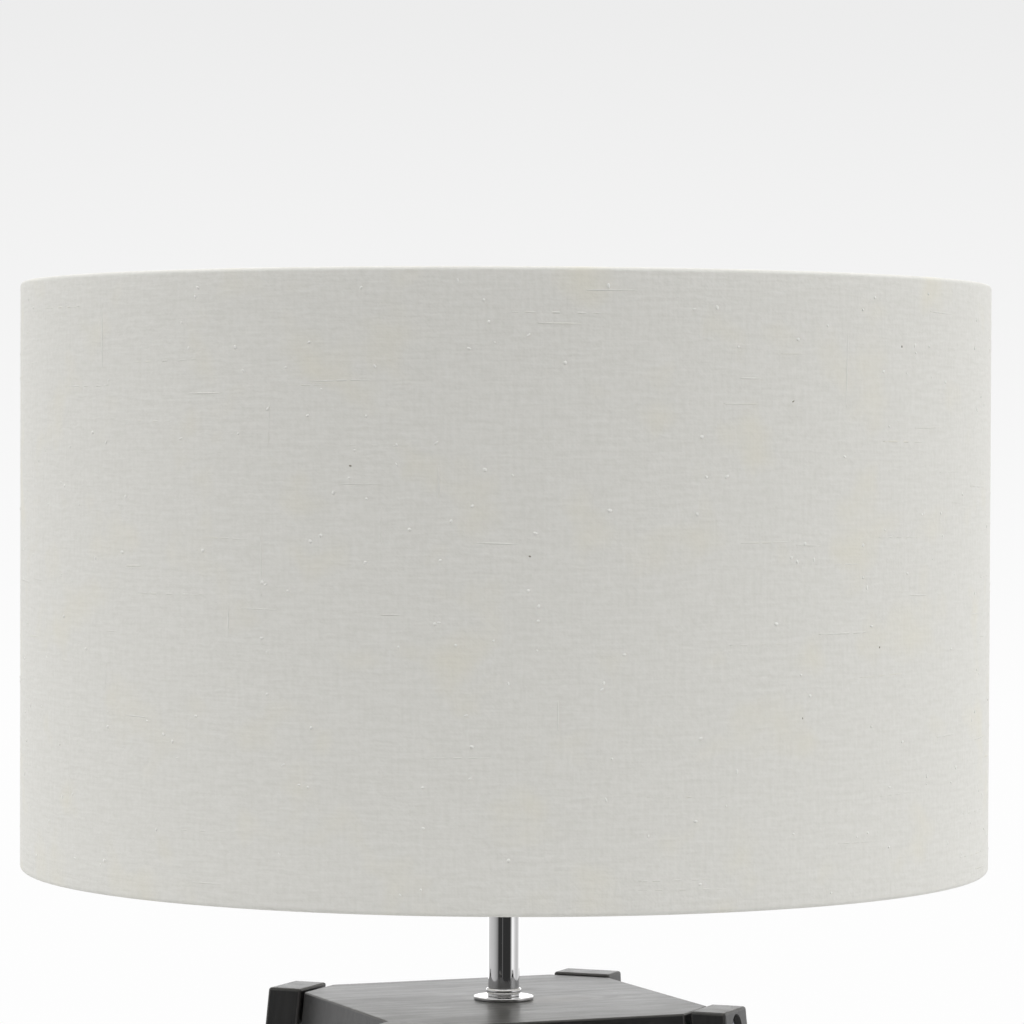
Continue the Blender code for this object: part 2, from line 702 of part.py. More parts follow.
def make_shade_wires():
    """Top wire, and the bottom wire with its arms and fitter ring welded on."""
    top_wire = SHADE_BOTTOM + SHADE_HEIGHT - HEM_R
    bottom_wire = SHADE_BOTTOM + HEM_R
    turned("shade_top_wire", wire_ring_profile(top_wire), zinc("shade_top_wire"), WIRE_SEGMENTS)

    fitter_bottom = BLOCK_TOP + SEAT_TOP + GAP
    fitter = turned("shade_fitter",
                    ring_profile(FITTER_BORE_R, FITTER_R, fitter_bottom,
                                 fitter_bottom + FITTER_THICK, FITTER_ROUNDING),
                    zinc("shade_fitter"), WIRE_SEGMENTS)
    wire = turned("bottom_wire", wire_ring_profile(bottom_wire), None, WIRE_SEGMENTS,
                  collection=CUTTERS)
    arms = []
    outer = SHADE_R - HEM_R
    inner = (FITTER_R + FITTER_BORE_R) / 2 + ARM_R / 2
    outer_height = bottom_wire + WIRE_R + 0.5 * ARM_R
    inner_height = fitter_bottom + FITTER_THICK / 2
    for i in range(ARM_COUNT):
        angle = math.radians(90) + math.tau * i / ARM_COUNT
        direction = Vector((math.cos(angle), math.sin(angle), 0))
        start = direction * outer + Vector((0, 0, outer_height))
        bend = direction * (outer - ARM_FLAT_OUTER) + Vector((0, 0, outer_height))
        rise = direction * (FITTER_R + ARM_FLAT_INNER) + Vector((0, 0, inner_height))
        end = direction * inner + Vector((0, 0, inner_height))
        arms.append(wire_object(f"arm_{i}", [start, bend, rise, end], ARM_R, CUTTERS))
    join_solids(fitter, arms + [wire])


# ---- build ------------------------------------------------------------------------------

clear_scene()
PARTS = new_collection("table_lamp")
CUTTERS = new_collection("cutters")
make_base()
make_stem()
make_lampholder()
make_screw_ring()
make_bulb()
make_shade_cloth()
make_shade_liner()
make_shade_wires()
for part in PARTS.objects:
    shade_smooth(part.data)
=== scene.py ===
"""Looks of a table lamp: wooden base on four legs, chrome stem, lampholder, bulb and shade.

Metres, +Z up.  The lamp stands on Z = 0 with its stem on the Z axis, and its legs stand on the
diagonals of X and Y.  Sizes come from the CAD model's own boxes.
"""

import math

import bmesh
import bpy
from mathutils import Matrix, Vector


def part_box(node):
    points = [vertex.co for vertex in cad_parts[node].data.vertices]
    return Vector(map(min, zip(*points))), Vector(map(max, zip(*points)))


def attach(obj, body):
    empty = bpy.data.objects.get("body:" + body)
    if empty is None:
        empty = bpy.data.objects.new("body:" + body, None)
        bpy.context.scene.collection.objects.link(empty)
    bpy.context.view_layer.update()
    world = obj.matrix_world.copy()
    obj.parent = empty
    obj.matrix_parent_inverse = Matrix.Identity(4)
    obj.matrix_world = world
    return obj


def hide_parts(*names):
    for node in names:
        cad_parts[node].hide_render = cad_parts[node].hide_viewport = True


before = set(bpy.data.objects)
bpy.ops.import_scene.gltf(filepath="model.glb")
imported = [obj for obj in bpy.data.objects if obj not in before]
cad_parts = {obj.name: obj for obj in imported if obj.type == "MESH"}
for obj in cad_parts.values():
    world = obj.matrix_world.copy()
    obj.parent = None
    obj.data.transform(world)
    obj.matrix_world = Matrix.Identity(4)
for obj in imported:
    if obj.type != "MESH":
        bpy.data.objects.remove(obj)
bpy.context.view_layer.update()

MM = 0.001
GAP = 0.3 * MM  # air that the CAD model keeps between pieces that touch
MERGE = 0.01 * MM  # points closer than this are one point
scene = bpy.context.scene

# ---- the lamp's own sizes ---------------------------------------------------------------

CLOTH_THICK = 0.5 * MM
HEM_WIRE_R = 1.2 * MM
HEM_WIRE_INSET = 2.7 * MM  # from the shade's outline to the middle of its wire
TUCK = 7 * MM  # cloth turned in behind each wire
LAP = 11 * MM  # cloth end glued over its start
LAP_ANGLE = math.radians(62)  # where round the shade that lap lies
DRUM_SWAY = 0.5 * MM  # unevenness of the drum's wall
ARM_COUNT = 3
ARM_R = 1.6 * MM
ARM_BEND_R = 7 * MM
WELD_R = 2.3 * MM
LEG_SPLAY = 0.105  # outward run of a leg for each unit of drop
E27_PITCH = 3.63 * MM  # seven turns to the inch
ROD_PITCH = 1 * MM
SKIRT_PITCH = 3 * MM  # thread on the lampholder's skirt, which the shade's ring screws onto
GRIP_NOTCHES = 12
EDGE_FACE_WIDTH = 1.1 * MM  # faces narrower than this belong to a rounded edge
HAIRS_EACH_SQUARE_METRE = 1.2e6  # loose fibres on the felt
CORNERS = {"front_left": 225, "front_right": 315, "back_right": 45, "back_left": 135}

# the kinds of node that come up most
MATH = "ShaderNodeMath"
VECTOR_MATH = "ShaderNodeVectorMath"
MIX = "ShaderNodeMix"
NOISE = "ShaderNodeTexNoise"
MAP_RANGE = "ShaderNodeMapRange"
COMBINE = "ShaderNodeCombineXYZ"
SEPARATE = "ShaderNodeSeparateXYZ"
ROTATE = "ShaderNodeVectorRotate"
BUMP = "ShaderNodeBump"
PLACE = "ShaderNodeTexCoord"
STRETCH = "ShaderNodeMapping"
RANDOM = "FunctionNodeRandomValue"

# ---- helpers ----------------------------------------------------------------------------


def linear(hex_colour):
    """An sRGB hex colour as the linear RGBA that a colour socket holds."""
    channels = [int(hex_colour[i:i + 2], 16) / 255 for i in (1, 3, 5)]
    return (*[c / 12.92 if c <= 0.04045 else ((c + 0.055) / 1.055) ** 2.4 for c in channels], 1)


def fill(tree, node, inputs):
    """Give a node's inputs their values, or link them to sockets or to nodes."""
    for key, value in inputs.items():
        if isinstance(key, int):
            socket = node.inputs[key]
        else:
            socket = next(s for s in node.inputs if s.name == key and s.enabled)
        if isinstance(value, bpy.types.Node):
            value = next(s for s in value.outputs if s.enabled)
        if isinstance(value, bpy.types.NodeSocket):
            tree.links.new(value, socket)
        else:
            socket.default_value = value


def add(tree, kind, inputs=None, **settings):
    """Add a node with its properties and inputs."""
    node = tree.nodes.new(kind)
    for name, value in settings.items():
        setattr(node, name, value)
    fill(tree, node, inputs or {})
    return node


def set_ramp(node, stops):
    """Give a colour ramp its (position, colour) stops."""
    ramp = node.color_ramp
    while len(ramp.elements) < len(stops):
        ramp.elements.new(1)
    for element, (position, colour) in zip(ramp.elements, stops):
        element.position = position
        element.color = colour


def node_tree(name, inputs):
    """A new Geometry Nodes tree with a geometry in, a geometry out and named inputs."""
    tree = bpy.data.node_groups.new(name, "GeometryNodeTree")
    tree.interface.new_socket("Geometry", in_out="OUTPUT", socket_type="NodeSocketGeometry")
    tree.interface.new_socket("Geometry", in_out="INPUT", socket_type="NodeSocketGeometry")
    for label, kind in inputs.items():
        tree.interface.new_socket(label, in_out="INPUT", socket_type="NodeSocket" + kind)
    return tree, tree.nodes.new("NodeGroupInput").outputs


def close_tree(tree, geometry, given):
    """End a tree in real geometry that carries its material."""
    real = add(tree, "GeometryNodeRealizeInstances", {"Geometry": geometry})
    painted = add(tree, "GeometryNodeSetMaterial",
                  {"Geometry": real, "Material": given["Material"]})
    add(tree, "NodeGroupOutput", {"Geometry": painted})


def evaluated_mesh(holder):
    depsgraph = bpy.context.evaluated_depsgraph_get()
    return bpy.data.meshes.new_from_object(holder.evaluated_get(depsgraph),
                                           preserve_all_data_layers=True, depsgraph=depsgraph)


def grow(name, mesh, tree, inputs):
    """Run a node tree on a mesh and keep what it makes as a plain mesh object."""
    piece = bpy.data.objects.new(name, mesh)
    modifier = piece.modifiers.new(tree.name, "NODES")
    modifier.node_group = tree
    for item in tree.interface.items_tree:
        if item.in_out == "INPUT" and item.name in inputs:
            modifier[item.identifier] = inputs[item.name]
    scene.collection.objects.link(piece)
    made = evaluated_mesh(piece)
    piece.modifiers.clear()
    piece.data = made
    made.name = name
    return piece


def bake_modifiers(piece):
    """Replace a piece's mesh with its modifiers' result."""
    made = evaluated_mesh(piece)
    piece.modifiers.clear()
    piece.data = made
    return piece


def new_piece(name, mesh, material):
    piece = bpy.data.objects.new(name, mesh)
    scene.collection.objects.link(piece)
    mesh.materials.clear()
    mesh.materials.append(material)
    return piece


def mesh_from(bm, name):
    mesh = bpy.data.meshes.new(name)
    bm.to_mesh(mesh)
    bm.free()
    return mesh


def settle(piece, body, slot, *nodes):
    """Hang a finished piece on its body and hide the CAD nodes that it stands for; the slot is not
    used.
    """
    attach(piece, body)
    if nodes:
        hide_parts(*nodes)
    return piece


def arc(centre_r, centre_z, radius, start, end, steps):
    """Points on an arc; angles in degrees, 0 outward along the radius and 90 up."""
    angles = [math.radians(start + (end - start) * i / steps) for i in range(steps + 1)]
    return [(centre_r + radius * math.cos(a), centre_z + radius * math.sin(a)) for a in angles]


def rounded(points, radius, steps=4, closed=True):
    """Round a profile's corners and keep the straight runs straight up to each rounding."""
    corners = [Vector(p) for p in points]
    count = len(corners)
    outline = []
    for i, corner in enumerate(corners):
        if not closed and i in (0, count - 1):
            outline.append(tuple(corner))
            continue
        before = corners[i - 1] - corner
        after = corners[(i + 1) % count] - corner
        reach = min(radius, 0.4 * before.length, 0.4 * after.length)
        start = corner + before.normalized() * reach
        end = corner + after.normalized() * reach
        outline.append(tuple(start + before.normalized() * min(reach, 0.1 * before.length)))
        for k in range(steps + 1):
            t = k / steps
            outline.append(tuple(start * (1 - t) ** 2 + corner * 2 * t * (1 - t) + end * t * t))
        outline.append(tuple(end + after.normalized() * min(reach, 0.1 * after.length)))
    if closed:
        outline.append(outline[0])
    return outline


# ---- node trees -------------------------------------------------------------------------


def swayed_out(tree, place, amount, radius):
    """The radius with the slow unevenness that a hand-rolled drum has at that place."""
    unevenness = add(tree, NOISE, {"Vector": place, "Scale": 7.0, "Detail": 1.0})
    centred = add(tree, MATH, {0: unevenness, 1: 0.5}, operation="SUBTRACT")
    return add(tree, MATH, {0: centred, 1: amount, 2: radius}, operation="MULTIPLY_ADD")


def turning_tree():
    """Turn a profile round Z, with threads or notches where the profile asks for relief.

    The profile is a chain of points in X and Z.  Its "relief" is how much of the thread or
    notch a point takes, its "length" is measured along it, and its "outward" is the way that
    a lapped end is lifted.
    """
    tree, given = node_tree("turned_profile", {
        "Segments": "Int", "Turn": "Float", "Start": "Float", "Lap Lift": "Float",
        "Relief Count": "Float", "Relief Twist": "Float", "Relief Depth": "Float",
        "Relief Sharpness": "Float", "Unrolled Radius": "Float", "Sway": "Float",
        "Material": "Material"})
    size = add(tree, "GeometryNodeAttributeDomainSize", {"Geometry": given["Geometry"]},
               component="MESH")
    rows = add(tree, MATH, {0: given["Segments"], 1: 1.0}, operation="ADD")
    grid = add(tree, "GeometryNodeMeshGrid", {
        "Size X": 1.0, "Size Y": 1.0, "Vertices X": size.outputs["Point Count"],
        "Vertices Y": rows})
    place = add(tree, "GeometryNodeInputPosition")
    spot = add(tree, SEPARATE, {0: place})
    along = add(tree, MATH, {0: spot.outputs["X"], 1: 0.5}, operation="ADD")
    around = add(tree, MATH, {0: spot.outputs["Y"], 1: 0.5}, operation="ADD")
    last = add(tree, MATH, {0: size.outputs["Point Count"], 1: 1.0}, operation="SUBTRACT")
    step = add(tree, MATH, {0: along, 1: last}, operation="MULTIPLY")
    index = add(tree, MATH, {0: step}, operation="ROUND")
    point = add(tree, "GeometryNodeSampleIndex",
                {"Geometry": given["Geometry"], "Value": place, "Index": index},
                data_type="FLOAT_VECTOR")
    values = {}
    for label, kind in (("relief", "FLOAT"), ("length", "FLOAT"), ("outward", "FLOAT_VECTOR")):
        stored = add(tree, "GeometryNodeInputNamedAttribute", {"Name": label}, data_type=kind)
        values[label] = add(tree, "GeometryNodeSampleIndex", {
            "Geometry": given["Geometry"], "Value": stored, "Index": index}, data_type=kind)
    swept = add(tree, MATH, {0: around, 1: given["Turn"]}, operation="MULTIPLY")
    angle = add(tree, MATH, {0: swept, 1: given["Start"]}, operation="ADD")
    profile = add(tree, SEPARATE, {0: point})

    turns = add(tree, MATH, {0: angle, 1: given["Relief Count"]}, operation="MULTIPLY")
    phase = add(tree, MATH,
                {0: profile.outputs["Z"], 1: given["Relief Twist"], 2: turns},
                operation="MULTIPLY_ADD")
    wave = add(tree, MATH, {0: phase}, operation="COSINE")
    raised = add(tree, MATH, {0: wave, 1: 0.5, 2: 0.5}, operation="MULTIPLY_ADD")
    crest = add(tree, MATH, {0: raised, 1: given["Relief Sharpness"]}, operation="POWER")
    depth = add(tree, MATH, {0: values["relief"], 1: given["Relief Depth"]}, operation="MULTIPLY")
    carved = add(tree, MATH, {0: crest, 1: depth, 2: profile.outputs["X"]},
                 operation="MULTIPLY_ADD")

    lap_start = math.tau - 0.02  # the lapped end rises over this last bit of the round
    lap = add(tree, MAP_RANGE, {
        "Value": swept, "From Min": lap_start, "From Max": math.tau, "To Min": 0.0,
        "To Max": given["Lap Lift"]}, interpolation_type="SMOOTHSTEP")
    flat = add(tree, COMBINE, {"X": carved, "Z": profile.outputs["Z"]})
    lift = add(tree, VECTOR_MATH, {0: values["outward"], "Scale": lap}, operation="SCALE")
    lapped = add(tree, VECTOR_MATH, {0: flat, 1: lift}, operation="ADD")
    lifted = add(tree, SEPARATE, {0: lapped})
    turned_point = add(tree, ROTATE, {"Vector": lapped, "Angle": angle}, rotation_type="Z_AXIS")
    sway = swayed_out(tree, turned_point, given["Sway"], lifted.outputs["X"])
    swayed = add(tree, COMBINE, {"X": sway, "Z": lifted.outputs["Z"]})
    final = add(tree, ROTATE, {"Vector": swayed, "Angle": angle}, rotation_type="Z_AXIS")

    unrolled = add(tree, MATH, {0: angle, 1: given["Unrolled Radius"]}, operation="MULTIPLY")
    flat_place = add(tree, COMBINE, {"X": unrolled, "Y": values["length"]})
    mapped = add(tree, "GeometryNodeStoreNamedAttribute",
                 {"Geometry": grid.outputs["Mesh"], "Name": "surface", "Value": flat_place},
                 data_type="FLOAT2", domain="CORNER")
    moved = add(tree, "GeometryNodeSetPosition", {"Geometry": mapped, "Position": final})
    closed = add(tree, "GeometryNodeMergeByDistance", {"Geometry": moved, "Distance": MERGE})
    smooth = add(tree, "GeometryNodeSetShadeSmooth", {"Geometry": closed})
    close_tree(tree, smooth, given)
    return tree


TURNING = turning_tree()


def turned(name, points, material, segments=96, turn=math.tau, start=0.0, lap_lift=0.0,
           relief=(0.0, 0.0, 0.0), sharpness=1.0, unrolled=1.0, sway=0.0):
    """Turn (radius, height) or (radius, height, relief) points that run down the outer side."""
    mesh = bpy.data.meshes.new(name)
    mesh.from_pydata([(p[0], 0, p[1]) for p in points],
                     [(i, i + 1) for i in range(len(points) - 1)], [])
    taken = mesh.attributes.new("relief", "FLOAT", "POINT")
    length = mesh.attributes.new("length", "FLOAT", "POINT")
    outward = mesh.attributes.new("outward", "FLOAT_VECTOR", "POINT")
    run = 0.0
    for i, point in enumerate(points):
        before = Vector(points[max(i - 1, 0)][:2])
        after = Vector(points[min(i + 1, len(points) - 1)][:2])
        way = (after - before).normalized()
        outward.data[i].vector = (-way.y, 0, way.x)
        taken.data[i].value = point[2] if len(point) > 2 else 0.0
        if i:
            run += math.dist(point[:2], points[i - 1][:2])
        length.data[i].value = run
    count, twist, depth = relief
    return grow(name, mesh, TURNING, {
        "Segments": segments, "Turn": turn, "Start": start, "Lap Lift": lap_lift,
        "Relief Count": count, "Relief Twist": twist, "Relief Depth": depth,
        "Relief Sharpness": sharpness, "Unrolled Radius": unrolled, "Sway": sway,
        "Material": material})


def grained(bm, into_grain):
    """Store each point's place in the wood, so that the grain follows the board."""
    layer = bm.verts.layers.float_vector.new("grain")
    for vert in bm.verts:
        vert[layer] = into_grain @ vert.co


def mark_edges(bm):
    """Mark the narrow faces, which are the rounded edges that the wood paints lighter as a
    highlight.
    """
    layer = bm.faces.layers.float.new("edge")
    for face in bm.faces:
        width = 2 * face.calc_area() / face.calc_perimeter()
        face[layer] = 1.0 if width < EDGE_FACE_WIDTH else 0.0


def carried(name, node, material, into_grain=None):
    """A smooth-shaded copy of a CAD node, its loose triangles joined into one surface."""
    bm = bmesh.new()
    bm.from_mesh(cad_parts[node].data)
    bmesh.ops.remove_doubles(bm, verts=bm.verts, dist=MERGE)
    bmesh.ops.dissolve_limit(bm, angle_limit=math.radians(0.2), verts=bm.verts, edges=bm.edges)
    if into_grain is not None:
        grained(bm, into_grain)
        mark_edges(bm)
    mesh = mesh_from(bm, name)
    mesh.shade_smooth()
    mesh.set_sharp_from_angle(angle=math.radians(50))
    piece = new_piece(name, mesh, material)
    weighted = piece.modifiers.new("Flat faces stay flat", "WEIGHTED_NORMAL")
    weighted.keep_sharp = True
    return bake_modifiers(piece)


def slub_tree():
    """Scatter thick places of yarn over an unrolled wall, then wrap them round the shade.

    Each is a spindle that lies on the cloth: long ones are slubs, short ones are nubs.
    """
    tree, given = node_tree("yarn_slubs", {
        "Girth": "Float", "Low": "Float", "High": "Float", "Radius": "Float",
        "Density": "Float", "Seed": "Int", "Shortest": "Float", "Longest": "Float",
        "Width": "Float", "Relief": "Float", "Direction": "Float", "Stray": "Float",
        "Sway": "Float", "Material": "Material"})
    height = add(tree, MATH, {0: given["High"], 1: given["Low"]}, operation="SUBTRACT")
    wall = add(tree, "GeometryNodeMeshGrid", {
        "Size X": given["Girth"], "Size Y": height, "Vertices X": 2, "Vertices Y": 2})
    spots = add(tree, "GeometryNodeDistributePointsOnFaces", {
        "Mesh": wall.outputs["Mesh"], "Density": given["Density"], "Seed": given["Seed"]})
    spindle = add(tree, "GeometryNodeMeshUVSphere", {"Segments": 6, "Rings": 6, "Radius": 0.5})
    laid = add(tree, "GeometryNodeTransform",
               {"Geometry": spindle.outputs["Mesh"], "Rotation": (0.0, math.pi / 2, 0.0)})
    long = add(tree, RANDOM, {
        "Min": given["Shortest"], "Max": given["Longest"], "Seed": given["Seed"]},
        data_type="FLOAT")
    strength = add(tree, RANDOM, {"Min": 0.5, "Max": 1.0, "Seed": 11}, data_type="FLOAT")
    wide = add(tree, MATH, {0: strength, 1: given["Width"]}, operation="MULTIPLY")
    proud = add(tree, MATH, {0: strength, 1: given["Relief"]}, operation="MULTIPLY")
    scale = add(tree, COMBINE, {"X": long, "Y": wide, "Z": proud})
    stray = add(tree, RANDOM, {"Min": -1.0, "Max": 1.0, "Seed": 5}, data_type="FLOAT")
    turn = add(tree, MATH, {0: stray, 1: given["Stray"], 2: given["Direction"]},
               operation="MULTIPLY_ADD")
    rotation = add(tree, COMBINE, {"Z": turn})
    laid_out = add(tree, "GeometryNodeInstanceOnPoints", {
        "Points": spots.outputs["Points"], "Instance": laid, "Rotation": rotation,
        "Scale": scale})
    flat = add(tree, "GeometryNodeRealizeInstances", {"Geometry": laid_out})
    place = add(tree, SEPARATE, {0: add(tree, "GeometryNodeInputPosition")})
    angle = add(tree, MATH, {0: place.outputs["X"], 1: given["Radius"]}, operation="DIVIDE")
    middle = add(tree, MATH, {0: given["High"], 1: given["Low"]}, operation="ADD")
    level = add(tree, MATH, {0: middle, 1: 0.5, 2: place.outputs["Y"]}, operation="MULTIPLY_ADD")
    bare = add(tree, COMBINE, {"X": given["Radius"], "Z": level})
    bare_wall = add(tree, ROTATE, {"Vector": bare, "Angle": angle}, rotation_type="Z_AXIS")
    sway = swayed_out(tree, bare_wall, given["Sway"], given["Radius"])
    reach = add(tree, MATH, {0: place.outputs["Z"], 1: sway}, operation="ADD")
    side = add(tree, COMBINE, {"X": reach, "Z": level})
    wrapped = add(tree, ROTATE, {"Vector": side, "Angle": angle}, rotation_type="Z_AXIS")
    mapped = add(tree, "GeometryNodeStoreNamedAttribute",
                 {"Geometry": flat, "Name": "surface", "Value": add(
                     tree, COMBINE, {"X": place.outputs["X"], "Y": level})},
                 data_type="FLOAT2", domain="CORNER")
    moved = add(tree, "GeometryNodeSetPosition", {"Geometry": mapped, "Position": wrapped})
    smooth = add(tree, "GeometryNodeSetShadeSmooth", {"Geometry": moved})
    close_tree(tree, smooth, given)
    return tree


def arm_tree():
    """Bend a rod through its path's points, repeat it round Z and weld a bead at each end."""
    tree, given = node_tree("bent_arms", {
        "Count": "Int", "Rod Radius": "Float", "Bend Radius": "Float", "Bead Radius": "Float",
        "Material": "Material"})
    path = add(tree, "GeometryNodeMeshToCurve", {"Mesh": given["Geometry"]})
    bent = add(tree, "GeometryNodeFilletCurve",
               {"Curve": path, "Radius": given["Bend Radius"], "Count": 10}, mode="POLY")
    section = add(tree, "GeometryNodeCurvePrimitiveCircle",
                  {"Resolution": 20, "Radius": given["Rod Radius"]})
    rod = add(tree, "GeometryNodeCurveToMesh", {
        "Curve": bent, "Profile Curve": section.outputs["Curve"], "Fill Caps": True})
    ends = add(tree, "GeometryNodeCurveEndpointSelection", {"Start Size": 1, "End Size": 1})
    bead = add(tree, "GeometryNodeMeshIcoSphere",
               {"Radius": given["Bead Radius"], "Subdivisions": 3})
    tips = add(tree, "GeometryNodeCurveToPoints", {"Curve": path}, mode="EVALUATED")
    beads = add(tree, "GeometryNodeInstanceOnPoints", {
        "Points": tips.outputs["Points"], "Selection": ends,
        "Instance": bead.outputs["Mesh"], "Scale": (1.25, 1.0, 0.72)})
    one_arm = add(tree, "GeometryNodeJoinGeometry", {0: rod})
    tree.links.new(beads.outputs[0], one_arm.inputs[0])
    step = add(tree, MATH, {0: math.tau, 1: given["Count"]}, operation="DIVIDE")
    centres = add(tree, "GeometryNodePoints", {"Count": given["Count"]})
    number = add(tree, "GeometryNodeInputIndex")
    turn = add(tree, MATH, {0: number, 1: step}, operation="MULTIPLY")
    rotation = add(tree, COMBINE, {"Z": turn})
    arms = add(tree, "GeometryNodeInstanceOnPoints", {
        "Points": centres, "Instance": one_arm, "Rotation": rotation})
    smooth = add(tree, "GeometryNodeSetShadeSmooth",
                 {"Geometry": add(tree, "GeometryNodeRealizeInstances", {"Geometry": arms})})
    close_tree(tree, smooth, given)
    return tree


def fibre_tree():
    """Short stray fibres that stand out of a felt surface."""
    tree, given = node_tree("stray_fibres", {
        "Density": "Float", "Length": "Float", "Thickness": "Float", "Material": "Material"})
    spots = add(tree, "GeometryNodeDistributePointsOnFaces", {
        "Mesh": given["Geometry"], "Density": given["Density"], "Seed": 3})
    fibre = add(tree, "GeometryNodeMeshCone", {
        "Vertices": 3, "Radius Top": 0.2, "Radius Bottom": 0.5, "Depth": 1.0})
    leaning = add(tree, RANDOM,
                  {"Min": (-0.9,) * 3, "Max": (0.9,) * 3, "Seed": 8}, data_type="FLOAT_VECTOR")
    turned_out = add(tree, "FunctionNodeRotateRotation", {
        "Rotation": spots.outputs["Rotation"], "Rotate By": leaning}, rotation_space="LOCAL")
    scale = add(tree, COMBINE, {
        "X": given["Thickness"], "Y": given["Thickness"], "Z": given["Length"]})
    hairs = add(tree, "GeometryNodeInstanceOnPoints", {
        "Points": spots.outputs["Points"], "Instance": fibre.outputs["Mesh"],
        "Rotation": turned_out, "Scale": scale})
    close_tree(tree, hairs, given)
    return tree


# ---- materials --------------------------------------------------------------------------


def new_material(name):
    material = bpy.data.materials.new(name)
    material.use_nodes = True
    return material, material.node_tree, material.node_tree.nodes["Principled BSDF"]


def plain_weave_cotton():
    """Unbleached cotton with slubs: matt, a little fuzzy, uneven yarns in both directions."""
    material, tree, shader = new_material("plain_weave_cotton")
    surface = add(tree, "ShaderNodeUVMap", uv_map="surface")
    # yarns lie 0.45 mm apart on the real cloth; 0.9 mm is the finest that shows
    yarn = 0.9 * MM
    wobble = add(tree, NOISE, {"Vector": surface, "Scale": 210.0, "Detail": 2.0})
    bent = add(tree, VECTOR_MATH, {0: wobble.outputs["Color"], 1: (0.0016,) * 3},
               operation="MULTIPLY")
    drawn = add(tree, VECTOR_MATH, {0: surface, 1: bent}, operation="ADD")
    place = add(tree, SEPARATE, {0: drawn})
    waves = []
    for axis in ("X", "Y"):
        phase = add(tree, MATH, {0: place.outputs[axis], 1: math.tau / yarn / 2},
                    operation="MULTIPLY")
        waves.append(add(tree, MATH, {0: phase}, operation="SINE"))
    over_under = add(tree, MATH, {0: waves[0], 1: waves[1]}, operation="MULTIPLY")

    # thick and thin stretches: 12 to 20 mm along a yarn, 1.5 mm across it, more of them in
    # the weft, and the whole cloth lighter where yarns crowd together
    stretches = []
    for scale in ((75.0, 620.0, 1.0), (680.0, 70.0, 1.0)):
        stretched = add(tree, STRETCH, {"Vector": drawn, "Scale": scale})
        stretches.append(add(tree, NOISE, {"Vector": stretched, "Scale": 1.0, "Detail": 1.0}))
    cross = add(tree, MATH, {0: stretches[1], 1: 0.55, 2: stretches[0]}, operation="MULTIPLY_ADD")
    fuzz = add(tree, NOISE, {"Vector": surface, "Scale": 430.0, "Detail": 3.0})
    uneven = add(tree, MATH, {0: fuzz, 1: 1.1, 2: cross}, operation="MULTIPLY_ADD")
    height = add(tree, MATH, {0: over_under, 1: 0.05, 2: uneven}, operation="MULTIPLY_ADD")
    bump = add(tree, BUMP, {"Strength": 1.0, "Distance": 0.12 * MM, "Height": height})

    shade = add(tree, MAP_RANGE, {"Value": uneven, "From Min": 1.0, "From Max": 1.65})
    tone = add(tree, MIX,
               {"Factor": shade, "A": linear("#DEDDD7"), "B": linear("#E5E4DF")},
               data_type="RGBA")
    clouds = add(tree, NOISE, {"Vector": surface, "Scale": 30.0, "Detail": 2.0})
    patch = add(tree, MAP_RANGE, {
        "Value": clouds, "From Min": 0.55, "From Max": 0.75, "To Min": 0.0, "To Max": 0.5})
    aged = add(tree, MIX, {"Factor": patch, "A": tone, "B": linear("#E5E1D1")}, data_type="RGBA")
    fill(tree, shader, {
        "Base Color": aged, "Normal": bump, "Roughness": 0.92, "IOR": 1.53,
        "Specular IOR Level": 0.25, "Sheen Weight": 0.12, "Sheen Roughness": 0.6})
    return material


def cotton_nub(name, colour):
    """A knot of loose cotton or a dark husk fleck: matt, rounder and cleaner than the yarns."""
    material, tree, shader = new_material(name)
    place = add(tree, PLACE)
    fibres = add(tree, NOISE, {"Vector": place.outputs["Object"], "Scale": 2500.0, "Detail": 2.0})
    bump = add(tree, BUMP, {"Distance": 0.05 * MM, "Height": fibres})
    darker = tuple(0.8 * c for c in linear(colour)[:3]) + (1,)
    tone = add(tree, MIX, {"Factor": fibres, "A": darker, "B": linear(colour)}, data_type="RGBA")
    fill(tree, shader, {"Base Color": tone, "Normal": bump, "Roughness": 0.95})
    return material


def styrene_sheet():
    """Calendered white styrene: smooth, half-matt, with a faint roller grain and cloudiness."""
    material, tree, shader = new_material("styrene_sheet")
    surface = add(tree, "ShaderNodeUVMap", uv_map="surface")
    grain = add(tree, NOISE, {"Vector": surface, "Scale": 700.0, "Detail": 2.0})
    roller = add(tree, STRETCH, {"Vector": surface, "Scale": (6.0, 220.0, 1.0)})
    lines = add(tree, NOISE, {"Vector": roller, "Scale": 1.0, "Detail": 3.0})
    height = add(tree, MATH, {0: lines, 1: 1.5, 2: grain}, operation="MULTIPLY_ADD")
    bump = add(tree, BUMP, {"Distance": 0.02 * MM, "Height": height})
    clouds = add(tree, NOISE, {"Vector": surface, "Scale": 9.0, "Detail": 4.0})
    tone = add(tree, MIX, {
        "Factor": clouds, "A": linear("#E9E8E2"), "B": linear("#F3F2EE")}, data_type="RGBA")
    gloss = add(tree, MAP_RANGE, {"Value": lines, "To Min": 0.38, "To Max": 0.52})
    fill(tree, shader, {"Base Color": tone, "Roughness": gloss, "Normal": bump, "IOR": 1.59})
    return material


